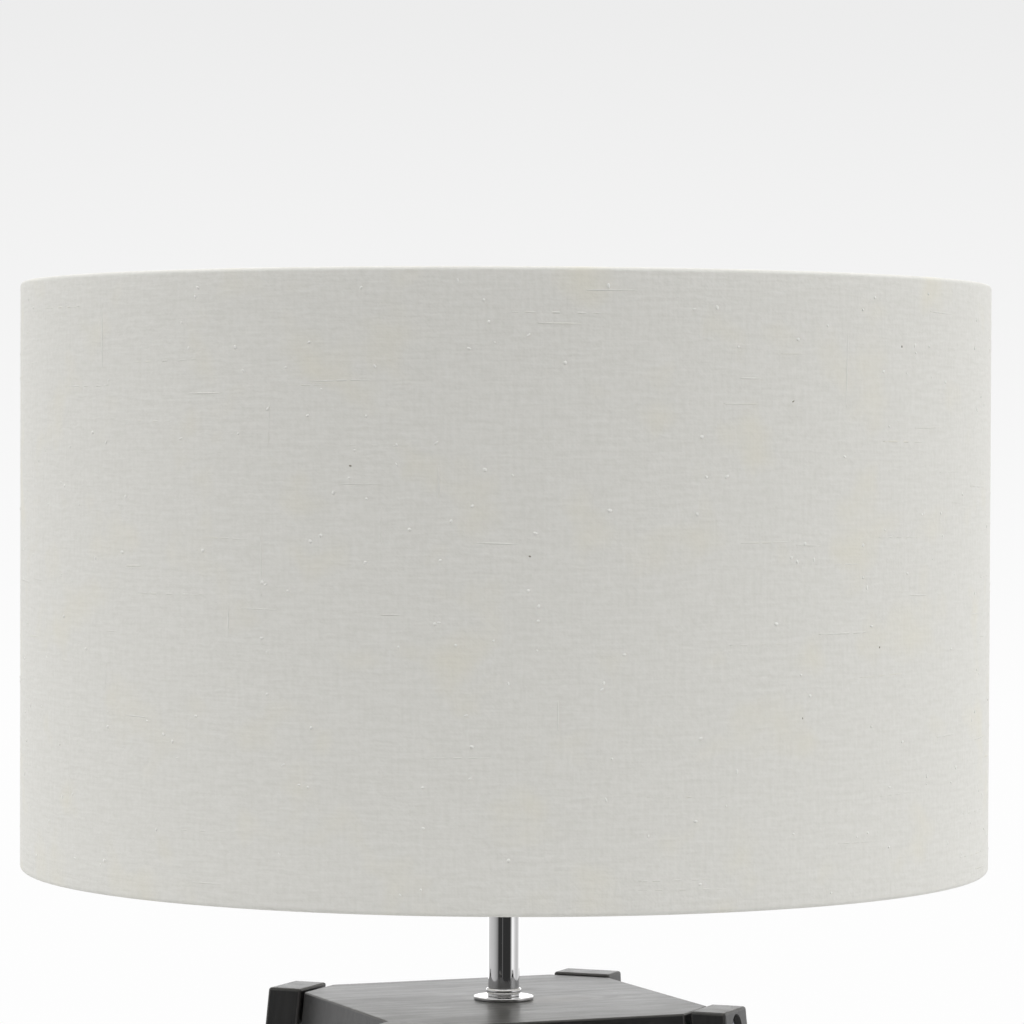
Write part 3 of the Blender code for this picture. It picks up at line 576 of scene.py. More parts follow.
def stained_wood(name, knot=None):
    """Black-grey stained beech under satin lacquer: fine grain lines, short pores, soft gloss."""
    material, tree, shader = new_material(name)
    grain = add(tree, "ShaderNodeAttribute", attribute_name="grain").outputs["Vector"]
    # flat-sawn year rings about 11 mm apart that wander along the board
    ring = 11 * MM
    drift = add(tree, STRETCH, {"Vector": grain, "Scale": (60.0, 60.0, 9.0)})
    wander = add(tree, NOISE, {"Vector": drift, "Scale": 1.0, "Detail": 3.0})
    place = add(tree, SEPARATE, {0: grain})
    across = place.outputs["Y"]
    if knot is not None:
        around_knot = add(tree, VECTOR_MATH, {0: grain, 1: knot}, operation="SUBTRACT")
        flattened = add(tree, VECTOR_MATH, {0: around_knot, 1: (0.0, 1.0, 0.55)},
                        operation="MULTIPLY")
        reach = add(tree, VECTOR_MATH, {0: flattened}, operation="LENGTH")
        pull = add(tree, MAP_RANGE, {
            "Value": reach.outputs["Value"], "From Min": 2 * MM, "From Max": 17 * MM,
            "To Min": 1.0, "To Max": 0.0}, interpolation_type="SMOOTHERSTEP")
        across = add(tree, MIX, {
            "Factor": pull, "A": across, "B": reach.outputs["Value"]}, data_type="FLOAT")
    wandered = add(tree, MATH, {0: wander, 1: 44 * MM, 2: across}, operation="MULTIPLY_ADD")
    phase = add(tree, MATH, {0: wandered, 1: math.tau / ring}, operation="MULTIPLY")
    rings = add(tree, MATH, {0: phase}, operation="SINE")
    # fibres 0.4 mm across and pores 0.5 mm across, both long and thin
    stretched = add(tree, STRETCH, {"Vector": grain, "Scale": (1.0, 1.0, 0.045)})
    fibres = add(tree, NOISE,
                 {"Vector": stretched, "Scale": 1500.0, "Detail": 3.0, "Roughness": 0.6})
    short = add(tree, STRETCH, {"Vector": grain, "Scale": (1.0, 1.0, 0.09)})
    pore_noise = add(tree, NOISE, {"Vector": short, "Scale": 1100.0, "Detail": 1.0})
    pores = add(tree, MAP_RANGE, {"Value": pore_noise, "From Min": 0.64, "From Max": 0.72})
    figure = add(tree, MATH, {0: rings, 1: 0.16, 2: fibres}, operation="MULTIPLY_ADD")
    clouds = add(tree, NOISE, {"Vector": grain, "Scale": 28.0, "Detail": 3.0})
    mottled = add(tree, MATH, {0: clouds, 1: 0.7, 2: figure}, operation="MULTIPLY_ADD")
    level = add(tree, MAP_RANGE, {"Value": mottled, "From Min": 0.45, "From Max": 1.3})
    stain = add(tree, MIX, {
        "Factor": level, "A": linear("#141414"), "B": linear("#272626")}, data_type="RGBA")
    open_pores = add(tree, MIX, {
        "Factor": pores, "A": stain, "B": linear("#0C0C0C")}, data_type="RGBA")
    # painted highlight: the rounded edges are painted lighter, for the bright line that they
    # reflect and for a little rubbed stain
    edge_faces = add(tree, "ShaderNodeAttribute", attribute_name="edge")
    edge_highlight_share = add(tree, MATH, {0: edge_faces.outputs["Fac"], 1: 0.3}, operation="MULTIPLY")
    edge_highlit_tone = add(tree, MIX, {
        "Factor": edge_highlight_share, "A": open_pores, "B": linear("#62605E")}, data_type="RGBA")
    if knot is not None:
        # round the knot the wood is painted paler, following its fibres
        pale = add(tree, MATH, {0: pull, 1: fibres}, operation="MULTIPLY")
        edge_highlit_tone = add(tree, MIX, {"Factor": pale, "A": edge_highlit_tone, "B": linear("#6A6662")}, data_type="RGBA")
    gloss = add(tree, MAP_RANGE, {
        "Value": mottled, "From Min": 0.45, "From Max": 1.3, "To Min": 0.27, "To Max": 0.36})
    swell = add(tree, MATH, {0: clouds, 1: 13.0, 2: fibres}, operation="MULTIPLY_ADD")
    raised = add(tree, MATH, {0: rings, 1: 0.25, 2: swell}, operation="MULTIPLY_ADD")
    if knot is not None:
        raised = add(tree, MATH, {0: pull, 1: 4.0, 2: raised}, operation="MULTIPLY_ADD")
    height = add(tree, MATH, {0: pores, 1: -0.8, 2: raised}, operation="MULTIPLY_ADD")
    bump = add(tree, BUMP, {"Strength": 0.6, "Distance": 0.05 * MM, "Height": height})
    fill(tree, shader, {"Base Color": edge_highlit_tone, "Roughness": gloss, "Normal": bump, "IOR": 1.5})
    return material


def skin(name, tones, clouds, grain, rough, rough_follows, depth, **finish):
    """Clouds of a light and a dark tone, and a fine grain, at two noise scales."""
    material, tree, shader = new_material(name)
    place = add(tree, PLACE).outputs["Object"]
    noise = {"clouds": add(tree, NOISE,
                           {"Vector": place, "Scale": clouds, "Detail": 3.0}),
             "grain": add(tree, NOISE,
                          {"Vector": place, "Scale": grain, "Detail": 2.0})}
    light, dark = tones
    tone = add(tree, MIX, {
        "Factor": noise["clouds"], "A": linear(dark), "B": linear(light)}, data_type="RGBA")
    gloss = add(tree, MAP_RANGE, {
        "Value": noise[rough_follows], "From Min": 0.3, "From Max": 0.7, "To Min": rough[0],
        "To Max": rough[1]})
    bump = add(tree, BUMP, {"Distance": depth, "Height": noise["grain"]})
    fill(tree, shader, {"Base Color": tone, "Roughness": gloss, "Normal": bump, **finish})
    return material


def plated(name, light, dark, rough_low, rough_high, dent):
    """A metal skin: faint handling marks some 8 mm across, and dents under a millimetre."""
    return skin(name, (light, dark), 130.0, 1400.0, (rough_low, rough_high), "clouds", dent,
                Metallic=1.0)


def coated(name, light, dark, roughness, ior, grain_mm, depth, sheen=0.0):
    """A moulded, glazed, felted or powder-coated skin, with its own grain."""
    return skin(name, (light, dark), 60.0, 1 / (grain_mm * MM),
                (roughness - 0.05, roughness + 0.05), "grain", depth,
                **{"IOR": ior, "Sheen Weight": sheen})


COTTON = plain_weave_cotton()
STYRENE = styrene_sheet()
# polished chrome plate: mirror-like, cool, only faint wipe marks
CHROME = plated("polished_chrome_plate", "#DEDEDF", "#D4D3D3", 0.035, 0.06, 0.0005 * MM)
# bright zinc plate with its bluish passivation: half-bright, slightly mottled
ZINC = plated("bright_zinc_plate", "#CFCFDA", "#B4B4BE", 0.22, 0.34, 0.01 * MM)
# nickel-plated stamped cap: warm grey, soft gloss
NICKEL = plated("stamped_nickel_plate", "#C9C6BE", "#B3B0A7", 0.2, 0.32, 0.01 * MM)
# stamped brass: yellow, dulled by air
BRASS = plated("stamped_brass", "#D2B068", "#AD8C48", 0.24, 0.38, 0.01 * MM)
# moulded black nylon: spark-eroded mould grain, dull sheen
NYLON = coated("moulded_black_nylon", "#1F2022", "#161719", 0.45, 1.53, 0.4, 0.02 * MM)
# unglazed steatite: chalky off-white
STEATITE = coated("pressed_steatite", "#EDE9DF", "#DFDACE", 0.55, 1.6, 0.3, 0.02 * MM)
# black vitrite in the bulb's cap: glassy
VITRITE = coated("poured_black_vitrite", "#1A1614", "#0F0D0C", 0.12, 1.52, 1.5, 0.01 * MM)
# white polycarbonate collar: satin
WHITE_PLASTIC = coated("moulded_white_polycarbonate", "#EFEFEC", "#E6E6E2", 0.38, 1.58, 0.5,
                       0.01 * MM)
# opal diffuser: milky and frosted
OPAL = coated("frosted_opal_diffuser", "#F6F5F1", "#EFEEE8", 0.42, 1.58, 0.35, 0.008 * MM)
# polyester powder coat: white with a slight orange peel
POWDER = coated("white_powder_coat", "#EFEEE9", "#E4E3DD", 0.36, 1.5, 1.1, 0.03 * MM)
# pressed wool felt: dull black, hairy
FELT = coated("pressed_black_felt", "#242425", "#141415", 0.95, 1.5, 0.25, 0.12 * MM, sheen=0.4)
NUB = cotton_nub("loose_cotton_nub", "#F8F7F3")
FLECK = cotton_nub("dark_husk_fleck", "#9A9589")

# ---- camera, light and floor ------------------------------------------------------------

CAMERA_AT = Vector((-0.676, -1.649, 0.5695))  # at sitting eye height, 1.8 m from the lamp
CAMERA_HEADING = math.radians(22.38)  # turned from +Y toward +X
CAMERA_DROP = math.radians(1.276)
CAMERA_ROLL = math.radians(0.217)


def make_camera():
    camera = bpy.data.cameras.new("camera")
    camera.lens = 151
    camera.sensor_width = 36
    camera.shift_y = 0.03
    camera.clip_start = 0.05
    holder = bpy.data.objects.new("camera", camera)
    turn = (Matrix.Rotation(-CAMERA_HEADING, 4, "Z")
            @ Matrix.Rotation(math.pi / 2 - CAMERA_DROP, 4, "X")
            @ Matrix.Rotation(CAMERA_ROLL, 4, "Z"))
    holder.matrix_world = Matrix.Translation(CAMERA_AT) @ turn
    scene.collection.objects.link(holder)
    scene.camera = holder


def make_studio():
    """A white studio: bright walls behind and on both sides, a dark room in front.

    Directions are told apart by their height, which is the Z of a unit vector: the walls
    reach up to 0.2, the softboxes take over from 0.4, and above 0.8 there is only ceiling.
    """
    world = bpy.data.worlds.new("studio")
    world.use_nodes = True
    scene.world = world
    tree = world.node_tree
    background = tree.nodes["Background"]
    wall_to_softbox, softbox_to_ceiling, ceiling_light = (0.2, 0.4), (0.6, 0.8), 1.45
    backdrop_foot, backdrop_top = (-0.06, 0.985), (0.1, 0.845)
    direction = add(tree, PLACE).outputs["Generated"]
    toward_camera = math.atan2(CAMERA_AT.y, CAMERA_AT.x)
    turned_to = add(tree, ROTATE,
                    {"Vector": direction, "Angle": -toward_camera}, rotation_type="Z_AXIS")
    parts = add(tree, SEPARATE, {0: turned_to})
    azimuth = add(tree, MATH, {0: parts.outputs["Y"], 1: parts.outputs["X"]}, operation="ARCTAN2")
    share = add(tree, MATH, {0: azimuth, 1: 1 / math.tau, 2: 0.5}, operation="MULTIPLY_ADD")
    # (degrees to the right of the camera, brightness of the wall there)
    wall_light = [(-180, 1.7), (-152, 1.4), (-138, 0.85), (-106, 0.72), (-84, 0.67),
                  (-64, 0.53), (-47, 0.32), (-38, 0.045), (-13, 0.04), (-9, 0.2), (-5, 0.04),
                  (48, 0.04), (56, 0.45), (64, 1.3), (74, 1.3), (90, 0.86), (106, 0.7),
                  (122, 0.76), (138, 1.0), (160, 1.6), (180, 1.7)]
    # softboxes hang over both side walls, and a dimmer one in front
    raised_light = [(-180, 0.75), (-130, 0.75), (-102, 1.75), (-60, 1.8), (-20, 1.25), (30, 1.25),
                    (65, 1.85), (92, 1.8), (122, 0.75), (180, 0.75)]
    bands = []
    for stops in (wall_light, raised_light):
        band = add(tree, "ShaderNodeValToRGB", {"Fac": share})
        set_ramp(band, [(0.5 + degrees / 360, (light, light, light, 1))
                        for degrees, light in stops])
        bands.append(band)
    raised, ceiling = [add(tree, MAP_RANGE, {
        "Value": parts.outputs["Z"], "From Min": start, "From Max": end},
        interpolation_type="SMOOTHSTEP")
        for start, end in (wall_to_softbox, softbox_to_ceiling)]
    sides = add(tree, MIX, {"Factor": raised, "A": bands[0], "B": bands[1]}, data_type="RGBA")
    lit = add(tree, MIX, {
        "Factor": ceiling, "A": sides, "B": (*[ceiling_light] * 3, 1)}, data_type="RGBA")
    # what stands behind the lamp: near white below, a little greyer above
    backdrop = add(tree, MAP_RANGE, {
        "Value": parts.outputs["Z"], "From Min": backdrop_foot[0], "From Max": backdrop_top[0],
        "To Min": backdrop_foot[1], "To Max": backdrop_top[1]})
    seen = add(tree, "ShaderNodeLightPath").outputs["Is Camera Ray"]
    sky = add(tree, MIX, {"Factor": seen, "A": lit, "B": backdrop}, data_type="RGBA")
    fill(tree, background, {"Color": sky})


def make_floor():
    """A pale round floor that fades out into the backdrop."""
    radius, fade_from, fade_to = 2.0, 0.6, 1.7
    bm = bmesh.new()
    bmesh.ops.create_circle(bm, cap_ends=True, segments=96, radius=radius)
    material, tree, shader = new_material("pale_floor")
    floor = new_piece("floor", mesh_from(bm, "floor"), material)
    fill(tree, shader, {"Base Color": linear("#DCDCDB"), "Roughness": 0.7})
    place = add(tree, PLACE)
    away = add(tree, VECTOR_MATH, {0: place.outputs["Object"]}, operation="LENGTH")
    fade = add(tree, MAP_RANGE, {
        "Value": away.outputs["Value"], "From Min": fade_from, "From Max": fade_to},
        interpolation_type="SMOOTHSTEP")
    clear = add(tree, "ShaderNodeBsdfTransparent")
    blend = add(tree, "ShaderNodeMixShader", {0: fade, 1: shader, 2: clear})
    fill(tree, tree.nodes["Material Output"], {"Surface": blend})


make_camera()
make_studio()
make_floor()
scene.view_settings.view_transform = "Standard"

# ---- shade ------------------------------------------------------------------------------


def make_cloth():
    """One sheet of cloth from tuck to tuck, rolled round both wires, its end lapped and glued."""
    low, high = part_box("shade_cloth")
    radius = high.x
    axis = radius - HEM_WIRE_INSET
    roll = HEM_WIRE_R + CLOTH_THICK + 0.2 * MM  # the cloth's own radius round a wire
    corner = 1.7 * MM  # between the roll and the outer wall
    inside = radius - CLOTH_THICK * 2 - 0.8 * MM  # the tuck, behind the liner
    top, bottom = high.z - GAP, low.z + GAP

    def hem(edge, way):
        """From the tuck's cut edge round the wire to the outer wall, for a top hem."""
        points = [(inside, edge - way * (roll * 2 + TUCK)), (inside, edge - way * roll * 2.4)]
        points += [(r, edge + way * z) for r, z in arc(axis, -roll, roll, 215, 90, 10)]
        points += [(r, edge + way * z) for r, z in arc(radius - corner, -corner, corner, 90, 0, 8)]
        return points

    upper = hem(top, 1)
    lower = hem(bottom, -1)
    wall_top, wall_bottom = upper[-1][1], lower[-1][1]
    wall_rows = 24
    wall = [(radius, wall_top + (wall_bottom - wall_top) * i / wall_rows)
            for i in range(1, wall_rows)]
    cloth = turned("drum_cloth", upper + wall + lower[::-1], COTTON, segments=256,
                   turn=math.tau + LAP / radius, start=LAP_ANGLE, lap_lift=CLOTH_THICK,
                   unrolled=radius, sway=DRUM_SWAY)
    thick = cloth.modifiers.new("Cloth thickness", "SOLIDIFY")
    thick.thickness = CLOTH_THICK * 0.9
    thick.offset = -1
    bake_modifiers(cloth)
    settle(cloth, "shade", "shade_cloth", "shade_cloth")


def make_liner():
    low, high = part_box("shade_liner")
    outer, inner = high.x, high.x - 0.4 * MM
    rows = 16
    outside = [(outer, high.z + (low.z - high.z) * i / rows) for i in range(rows + 1)]
    inside = [(inner, z) for _, z in outside[::-1]]
    liner = turned("drum_liner", outside + inside + outside[:1], STYRENE, segments=192,
                   unrolled=outer, sway=DRUM_SWAY, start=LAP_ANGLE)
    settle(liner, "shade", "shade_liner", "shade_liner")


def scatter(name, material, seed, density, lengths, width, relief, direction, stray):
    """Slubs or nubs over the cloth's outer wall; direction 0 runs round the shade."""
    low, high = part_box("shade_cloth")
    margin = 2 * HEM_WIRE_INSET + (lengths[1] / 2 if direction else 0)
    piece = grow(name, bpy.data.meshes.new(name), SLUBS, {
        "Girth": math.tau * high.x, "Low": low.z + margin, "High": high.z - margin,
        "Radius": high.x, "Density": density, "Seed": seed, "Shortest": lengths[0],
        "Longest": lengths[1], "Width": width, "Relief": relief, "Direction": direction,
        "Stray": stray, "Sway": DRUM_SWAY, "Material": material})
    return settle(piece, "shade", "shade_cloth")


def make_wire_ring(name, height):
    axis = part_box("shade_cloth")[1].x - HEM_WIRE_INSET
    return turned(name, arc(axis, height, HEM_WIRE_R, 90, -270, 12), POWDER, 192)


def join(target, others):
    """Weld finished parts of one piece into one object."""
    bm = bmesh.new()
    for part in [target] + others:
        bm.from_mesh(part.data)
    bm.to_mesh(target.data)
    bm.free()
    for part in others:
        bpy.data.objects.remove(part)
    return target


def make_fitter():
    """Bottom wire, three bent arms and the fitter ring, welded and powder coated."""
    low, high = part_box("shade_fitter")
    wire_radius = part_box("shade_cloth")[1].x - HEM_WIRE_INSET
    ring_bore, ring_r, ring_thick = 20.2 * MM, 24.5 * MM, 3 * MM
    ring = turned("welded_fitter", rounded(
        [(ring_bore, high.z), (ring_r, high.z), (ring_r, high.z - ring_thick),
         (ring_bore, high.z - ring_thick)], 0.7 * MM), POWDER, 128)
    wire_height = low.z + HEM_WIRE_R
    wire = make_wire_ring("bottom_wire", wire_height)
    outer_level = wire_height + HEM_WIRE_R + ARM_R / 2
    inner_level = high.z - ring_thick / 2
    path = bpy.data.meshes.new("arm_path")
    outer_run, inner_run, overlap = 14 * MM, 12 * MM, 1.2 * MM
    path.from_pydata([(0, wire_radius, outer_level), (0, wire_radius - outer_run, outer_level),
                      (0, ring_r + inner_run, inner_level), (0, ring_r - overlap, inner_level)],
                     [(0, 1), (1, 2), (2, 3)], [])
    arms = grow("arms", path, ARMS, {
        "Count": ARM_COUNT, "Rod Radius": ARM_R, "Bend Radius": ARM_BEND_R,
        "Bead Radius": WELD_R, "Material": POWDER})
    settle(join(ring, [wire, arms]), "shade", "shade_wire", "shade_fitter")


SLUBS = slub_tree()
ARMS = arm_tree()
FIBRES = fibre_tree()

make_liner()
make_cloth()
top_wire = make_wire_ring("top_wire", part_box("shade_cloth")[1].z - HEM_WIRE_INSET)
settle(top_wire, "shade", "shade_wire", "shade_top_wire")
make_fitter()
QUARTER = math.pi / 2
# name, material, seed, number on a square metre, shortest and longest, width, relief,
# direction, and how far from it one may turn
scatter("cotton_nubs", NUB, 1, 1700.0, (0.8 * MM, 1.9 * MM), 1.6 * MM, 0.6 * MM, 0.0, math.pi)
scatter("husk_flecks", FLECK, 2, 45.0, (0.5 * MM, 1.3 * MM), 0.8 * MM, 0.4 * MM, 0.0, math.pi)
scatter("weft_slubs", COTTON, 3, 450.0, (8 * MM, 38 * MM), 1.0 * MM, 0.05 * MM, 0.0, 0.03)
scatter("warp_slubs", COTTON, 4, 160.0, (8 * MM, 32 * MM), 1.0 * MM, 0.04 * MM, QUARTER, 0.03)

# ---- stem -------------------------------------------------------------------------------


def ring_piece(name, node, bore, rounding, material, body, slot, segments=96):
    """A ring with softly rounded edges, as large as a CAD node and down on what it rests on."""
    low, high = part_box(node)
    seat = low.z - 0.9 * GAP
    corners = [(bore, high.z), (high.x, high.z), (high.x, seat), (bore, seat)]
    piece = turned(name, rounded(corners, rounding), material, segments)
    settle(piece, body, slot, node)


STEM_BORE = 5.3 * MM
ring_piece("washer_disc", "stem_washer", STEM_BORE, 0.35 * MM, CHROME, "base", "chrome", 128)
ring_piece("thin_ring", "stem_thin_ring", STEM_BORE, 0.3 * MM, CHROME, "base", "chrome", 128)
ring_piece("collar_ring", "stem_collar", STEM_BORE, 0.9 * MM, CHROME, "base", "chrome", 128)
ring_piece("chrome_tube", "stem_tube", STEM_BORE, 0.2 * MM, CHROME, "base", "chrome", 128)


def make_rod():
    """Hollow rod; its thread is drawn near both ends and is plain inside the tube."""
    low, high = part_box("threaded_rod")
    bore, crest, root = 4 * MM, high.x - 0.05 * MM, high.x - 0.55 * MM
    end_r = root - 0.3 * MM
    threaded, steps_each_turn = 14 * MM, 6
    points = [(bore, high.z), (end_r, high.z)]
    for top, bottom in ((high.z, high.z - threaded), (low.z + threaded, low.z)):
        steps = round((top - bottom) / (ROD_PITCH / steps_each_turn))
        for i in range(1, steps):
            fade = min(1, 4 * i / steps, 4 * (steps - i) / steps)
            points.append((root, top - (top - bottom) * i / steps, fade))
    points += [(end_r, low.z), (bore, low.z), (bore, high.z)]
    rod = turned("hollow_threaded_rod", points, ZINC, 48,
                 relief=(1.0, -math.tau / ROD_PITCH, crest - root), sharpness=0.9)
    settle(rod, "base", "zinc_steel", "threaded_rod")


def make_nut():
    """Hexagon nut with both faces chamfered to a circle."""
    low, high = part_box("rod_nut")
    half_flats = min(high.x, high.y)
    start = 0 if high.x > high.y else 30
    circle = 0.96 * half_flats  # what the chamfer leaves of each face
    chamfer_slope = math.tan(math.radians(30))
    mouth = 0.4 * MM
    segments = 96
    bm = bmesh.new()
    rings = []
    for i in range(segments):
        degrees = 360 * i / segments
        from_flat = math.radians((degrees - start) % 60 - 30)
        edge = half_flats / math.cos(from_flat)
        drop = (edge - circle) * chamfer_slope
        column = [(STEM_BORE, high.z - mouth), (STEM_BORE + mouth, high.z), (circle, high.z),
                  (edge, high.z - drop), (edge, low.z + drop), (circle, low.z),
                  (STEM_BORE + mouth, low.z), (STEM_BORE, low.z + mouth)]
        angle = math.radians(degrees)
        rings.append([bm.verts.new((r * math.cos(angle), r * math.sin(angle), z))
                      for r, z in column])
    for i, ring in enumerate(rings):
        following = rings[(i + 1) % segments]
        for k in range(len(ring)):
            after = (k + 1) % len(ring)
            bm.faces.new((ring[k], ring[after], following[after], following[k]))
    bmesh.ops.recalc_face_normals(bm, faces=bm.faces)
    mesh = mesh_from(bm, "hexagon_nut")
    mesh.shade_smooth()
    mesh.set_sharp_from_angle(angle=math.radians(18))
    settle(new_piece("hexagon_nut", mesh, ZINC), "base", "zinc_steel", "rod_nut")


def make_bush():
    """Nylon bush with a bell mouth, so that the cord bends over no sharp edge."""
    low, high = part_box("cable_bush")
    bore, neck, flange, mouth_r = 3.2 * MM, 3.7 * MM, high.x, 0.9 * MM
    flange_top = low.z + 1.2 * MM
    mouth = arc(bore + mouth_r, low.z + mouth_r, mouth_r, 270, 180, 6)
    outside = rounded([(bore, high.z), (neck, high.z), (neck, flange_top),
                       (flange, flange_top), (flange, low.z), mouth[0]], 0.35 * MM,
                      closed=False)
    bush = turned("bell_mouth_bush", outside + mouth[1:] + [outside[0]], NYLON, 96)
    settle(bush, "base", "black_nylon", "cable_bush")


ring_piece("plain_washer", "nut_washer", STEM_BORE, 0.25 * MM, ZINC, "base", "zinc_steel")
make_rod()
make_nut()
make_bush()

# ---- lampholder -------------------------------------------------------------------------


def threaded_run(radius, top, bottom, steps, fade=0.12):
    """Points down a wall that take a thread, which runs in and out at both ends."""
    points = []
    for i in range(steps + 1):
        t = i / steps
        points.append((radius, top + (bottom - top) * t, min(1, t / fade, (1 - t) / fade)))
    return points


def make_cap():
    """Bell-shaped lower cap of the holder, with a bead round its mouth."""
    low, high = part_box("holder_cap")
    radius, wall, neck = high.x, 1.8 * MM, 9 * MM
    bead = high.z - 3 * MM
    outline = [
        (radius - wall, high.z), (radius, high.z), (radius, bead), (radius - 0.5 * MM, bead),
        (radius - 0.5 * MM, bead - 1 * MM), (radius - 0.3 * MM, bead - 1.5 * MM),
        (radius - 0.3 * MM, high.z - 9 * MM), (radius - 2.2 * MM, high.z - 13 * MM),
        (neck + 3 * MM, low.z + 8 * MM), (neck, low.z + 4 * MM), (neck, low.z),
        (STEM_BORE, low.z), (STEM_BORE, low.z + 6 * MM), (neck, low.z + 9 * MM),
        (radius - wall - 2 * MM, high.z - 12 * MM), (radius - wall, high.z - 9 * MM)]
    cap = turned("holder_bell", rounded(outline, 1.1 * MM, 5), NYLON, 128)
    settle(cap, "base", "black_nylon", "holder_cap")


def make_shell():
    """Outer shell: seat for the shade's fitter, and above it the thread for the screw ring."""
    low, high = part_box("holder_shell")
    radius, wall, depth = 19.5 * MM, 1.8 * MM, 0.8 * MM
    seat_low, seat_high = low.z + 1.7 * MM, low.z + 3.7 * MM
    bore = radius - wall
    seat = rounded([(radius, seat_high + 1 * MM), (radius, seat_high), (high.x, seat_high),
                    (high.x, seat_low), (radius, seat_low), (radius, low.z)], 0.35 * MM,
                   closed=False)
    points = [(bore, high.z), (radius - depth - 0.2 * MM, high.z)]
    points += threaded_run(radius - depth, high.z - 0.6 * MM, seat_high + 1.4 * MM, 96)
    points += [(radius - depth, seat_high + 1.2 * MM)] + seat + [(bore, low.z), (bore, high.z)]
    shell = turned("holder_skirt", points, NYLON, 96,
                   relief=(1.0, -math.tau / SKIRT_PITCH, depth), sharpness=0.8)
    settle(shell, "base", "black_nylon", "holder_shell")


def make_insert():
    """Pressed ceramic plate with a sunk well for the contact."""
    low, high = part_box("holder_insert")
    well, depth = 6.2 * MM, 2 * MM
    outline = [(0, high.z - depth), (well, high.z - depth), (well, high.z), (high.x, high.z),
               (high.x, low.z), (0, low.z)]
    plate = turned("steatite_insert", rounded(outline, 0.5 * MM, closed=False), STEATITE, 96)
    settle(plate, "base", "white_ceramic", "holder_insert")


def make_sleeve():
    """Rolled brass sleeve: the same thread inside and outside, one sheet thick."""
    low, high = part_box("holder_sleeve")
    thick, depth = 0.45 * MM, 0.9 * MM
    outer = high.x
    outside = threaded_run(outer, high.z - 1 * MM, low.z + 1 * MM, 56, 0.08)
    inside = [(r - thick, z, weight) for r, z, weight in outside[::-1]]
    points = [(outer - thick, high.z), (outer, high.z)] + outside
    points += [(outer, low.z), (outer - thick, low.z)] + inside + [(outer - thick, high.z)]
    sleeve = turned("rolled_sleeve", points, BRASS, 72, relief=(1.0, -math.tau / E27_PITCH, depth))
    settle(sleeve, "base", "brass", "holder_sleeve")


def make_tongue():
    """Sprung brass strip, bent up so that the bulb's tip presses it down."""
    low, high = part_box("holder_contact")
    thick, tip_droop, tip_narrowing = 0.4 * MM, 0.5 * MM, 0.25
    foot_end, rise_length, tip_start = 0.12, 0.4, 0.8  # shares of the strip's length
    width = high.y - low.y
    bm = bmesh.new()
    previous = None
    steps = 24
    for i in range(steps + 1):
        t = i / steps
        rise = min(1, max(0, (t - foot_end) / rise_length))
        level = low.z + thick + (high.z - low.z - thick) * rise * rise * (3 - 2 * rise)
        level -= tip_droop * max(0, (t - tip_start) / (1 - tip_start)) ** 2
        x = low.x + (high.x - low.x) * t
        taper = width / 2 * (1 - tip_narrowing * t)
        row = [bm.verts.new((x, side * taper, level)) for side in (-1, -0.5, 0, 0.5, 1)]
        if previous:
            for k in range(4):
                bm.faces.new((previous[k], row[k], row[k + 1], previous[k + 1]))
        previous = row
    mesh = mesh_from(bm, "contact_tongue")
    mesh.shade_smooth()
    tongue = new_piece("contact_tongue", mesh, BRASS)
    sheet = tongue.modifiers.new("Sheet thickness", "SOLIDIFY")
    sheet.thickness = thick
    sheet.offset = -1
    edge = tongue.modifiers.new("Blanked edges", "BEVEL")
    edge.width = 0.08 * MM
    edge.segments = 2
    edge.angle_limit = math.radians(40)
    settle(bake_modifiers(tongue), "base", "brass", "holder_contact")


def make_screw_ring():
    """Ring that clamps the fitter: a flange and a body with twelve scalloped finger grips."""
    low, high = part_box("shade_screw_ring")
    bore, body, lip, notch = 19.8 * MM, 24 * MM, 2 * MM, 1.2 * MM
    between_ribs = body - notch
    points = [(bore, high.z), (between_ribs - 0.9 * MM, high.z),
              (between_ribs - 0.35 * MM, high.z - 0.12 * MM, 0.7),
              (between_ribs - 0.1 * MM, high.z - 0.4 * MM, 0.9),
              (between_ribs, high.z - 0.8 * MM, 1.0), (between_ribs, high.z - 2 * MM, 1.0),
              (between_ribs, low.z + lip + 1.2 * MM, 1.0),
              (between_ribs + 0.4 * notch, low.z + lip + 0.6 * MM, 0.6),
              (body, low.z + lip + 0.3 * MM), (body + 0.3 * MM, low.z + lip)]
    points += rounded([(body + 0.4 * MM, low.z + lip), (high.x, low.z + lip), (high.x, low.z),
                       (bore, low.z)], 0.5 * MM, closed=False)
    points.append(points[0])
    ring = turned("grip_ring", points, NYLON, GRIP_NOTCHES * 16,
                  relief=(GRIP_NOTCHES, 0.0, notch), sharpness=0.3)
    settle(ring, "screw_ring", "black_nylon", "shade_screw_ring")


make_cap()
make_shell()
make_insert()
make_sleeve()
make_tongue()
make_screw_ring()

# ---- bulb -------------------------------------------------------------------------------


